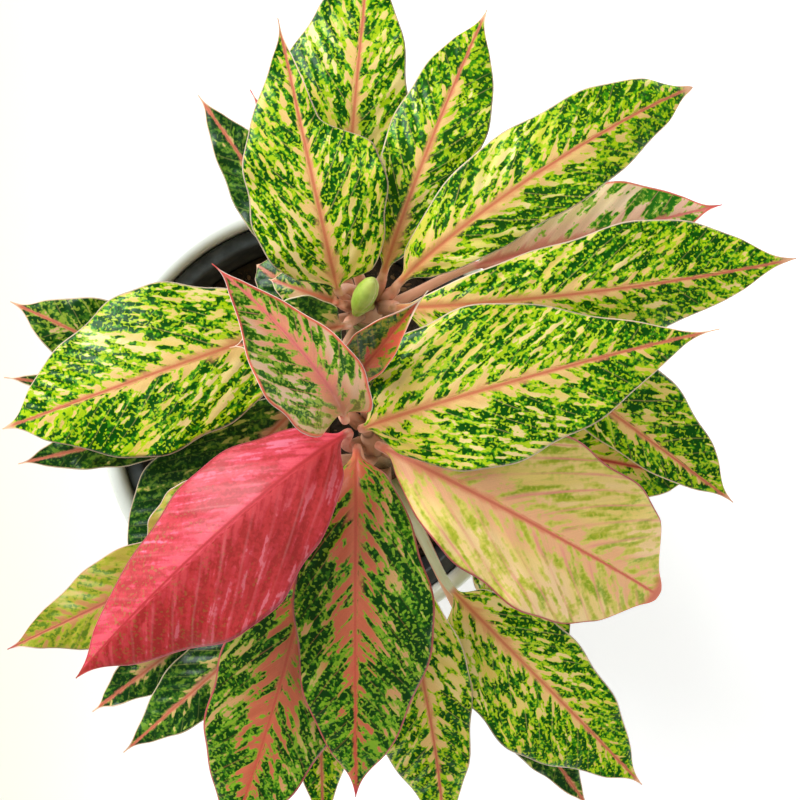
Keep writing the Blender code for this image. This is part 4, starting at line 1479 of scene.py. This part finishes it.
@dataclass
class Studio:
    """A pale floor, soft light and the camera above the plant."""

    eye: Triple = (0.040, 0.009, 1.5)
    lens: float = 118.0
    sensor: float = 36.0
    floor_half: float = 6.0
    sky: float = 0.10
    overhead: float = 1.45
    window: float = 3.6
    fill: float = 0.5
    # The floor's emission: painted light from a part that is no lamp.
    glow: float = 0.40

    def floor(self) -> bpy.types.Object:
        """Lay the floor, with painted shade making it a little darker and creamier on the window's side."""
        bench = Bench("pale_floor")
        place = bench.object_place()
        x, y, _ = place.parts()
        # Painted shade: the floor is darker and creamier towards the window's side, for the room's faint shadows.
        near = bench.mix(y.ramp(-0.25, 0.15), paint(205, 203, 190), paint(213, 212, 200))
        colour = bench.mix(x.ramp(-0.24, 0.08), near, paint(250, 250, 250))
        # The floor glows with its own colour: painted light that washes out the plant's shadows and lights the leaves
        # from below.
        plain = {"Roughness": 0.9, "Specular IOR Level": 0.1, "Emission Strength": self.glow}
        material = bench.finish({"Base Color": colour, "Emission Color": colour, **plain})
        half = self.floor_half
        mesh = bpy.data.meshes.new("floor")
        corners = [(x_side * half, y_side * half, 0.0) for x_side, y_side in ((-1, -1), (1, -1), (1, 1), (-1, 1))]
        mesh.from_pydata(corners, [], [(0, 1, 2, 3)])
        mesh.materials.append(material)
        floor = bpy.data.objects.new("floor", mesh)
        bpy.context.scene.collection.objects.link(floor)
        return floor

    @staticmethod
    def sun(name: str, heading: Triple, strength: float, spread: float, colour: Triple, gloss: bool) -> None:
        """Hang a wide soft light.

        Args:
            name: The light's name.
            heading: Where the light comes from.
            strength: How strong it is.
            spread: How wide it is, in degrees.
            colour: Its colour.
            gloss: Whether it shows in glossy surfaces.
        """
        light = bpy.data.lights.new(name, "SUN")
        light.energy = strength
        light.angle = math.radians(spread)
        light.color = colour
        lamp = bpy.data.objects.new(name, light)
        lamp.rotation_euler = Vector(heading).to_track_quat("Z", "Y").to_euler()
        lamp.visible_glossy = gloss
        bpy.context.scene.collection.objects.link(lamp)

    def build(self) -> None:
        """Build the floor, the lights and the camera."""
        scene = bpy.context.scene
        self.floor()
        world = bpy.data.worlds.new("room")
        world.use_nodes = True
        world.node_tree.nodes["Background"].inputs["Color"].default_value = (1.0, 1.0, 1.0, 1.0)
        world.node_tree.nodes["Background"].inputs["Strength"].default_value = self.sky
        scene.world = world
        self.sun("overhead", (0.1, 0.0, 1.0), self.overhead, 100.0, (1.0, 1.0, 1.0), False)
        self.sun("window", (-0.75, 0.55, 0.62), self.window, 40.0, (0.90, 0.96, 1.0), True)
        self.sun("fill", (0.7, -0.6, 0.35), self.fill, 90.0, (1.0, 0.99, 0.96), False)
        camera = bpy.data.cameras.new("camera")
        camera.lens = self.lens
        camera.sensor_width = self.sensor
        camera.clip_start, camera.clip_end = 0.05, 30.0
        holder = bpy.data.objects.new("camera", camera)
        holder.location = self.eye
        scene.collection.objects.link(holder)
        scene.camera = holder
        scene.view_settings.view_transform = "Standard"


def main() -> None:
    """Build the plant, group by group, and say what was made."""
    logging.basicConfig(level=logging.INFO)
    for group in (Pots(), SoilBed(), Canes(), FlowerBud(), Foliage()):
        for piece in group.build():
            LOG.info("%s: %d faces", piece.name, len(piece.data.polygons))
    Studio().build()


if __name__ == "__main__":
    main()
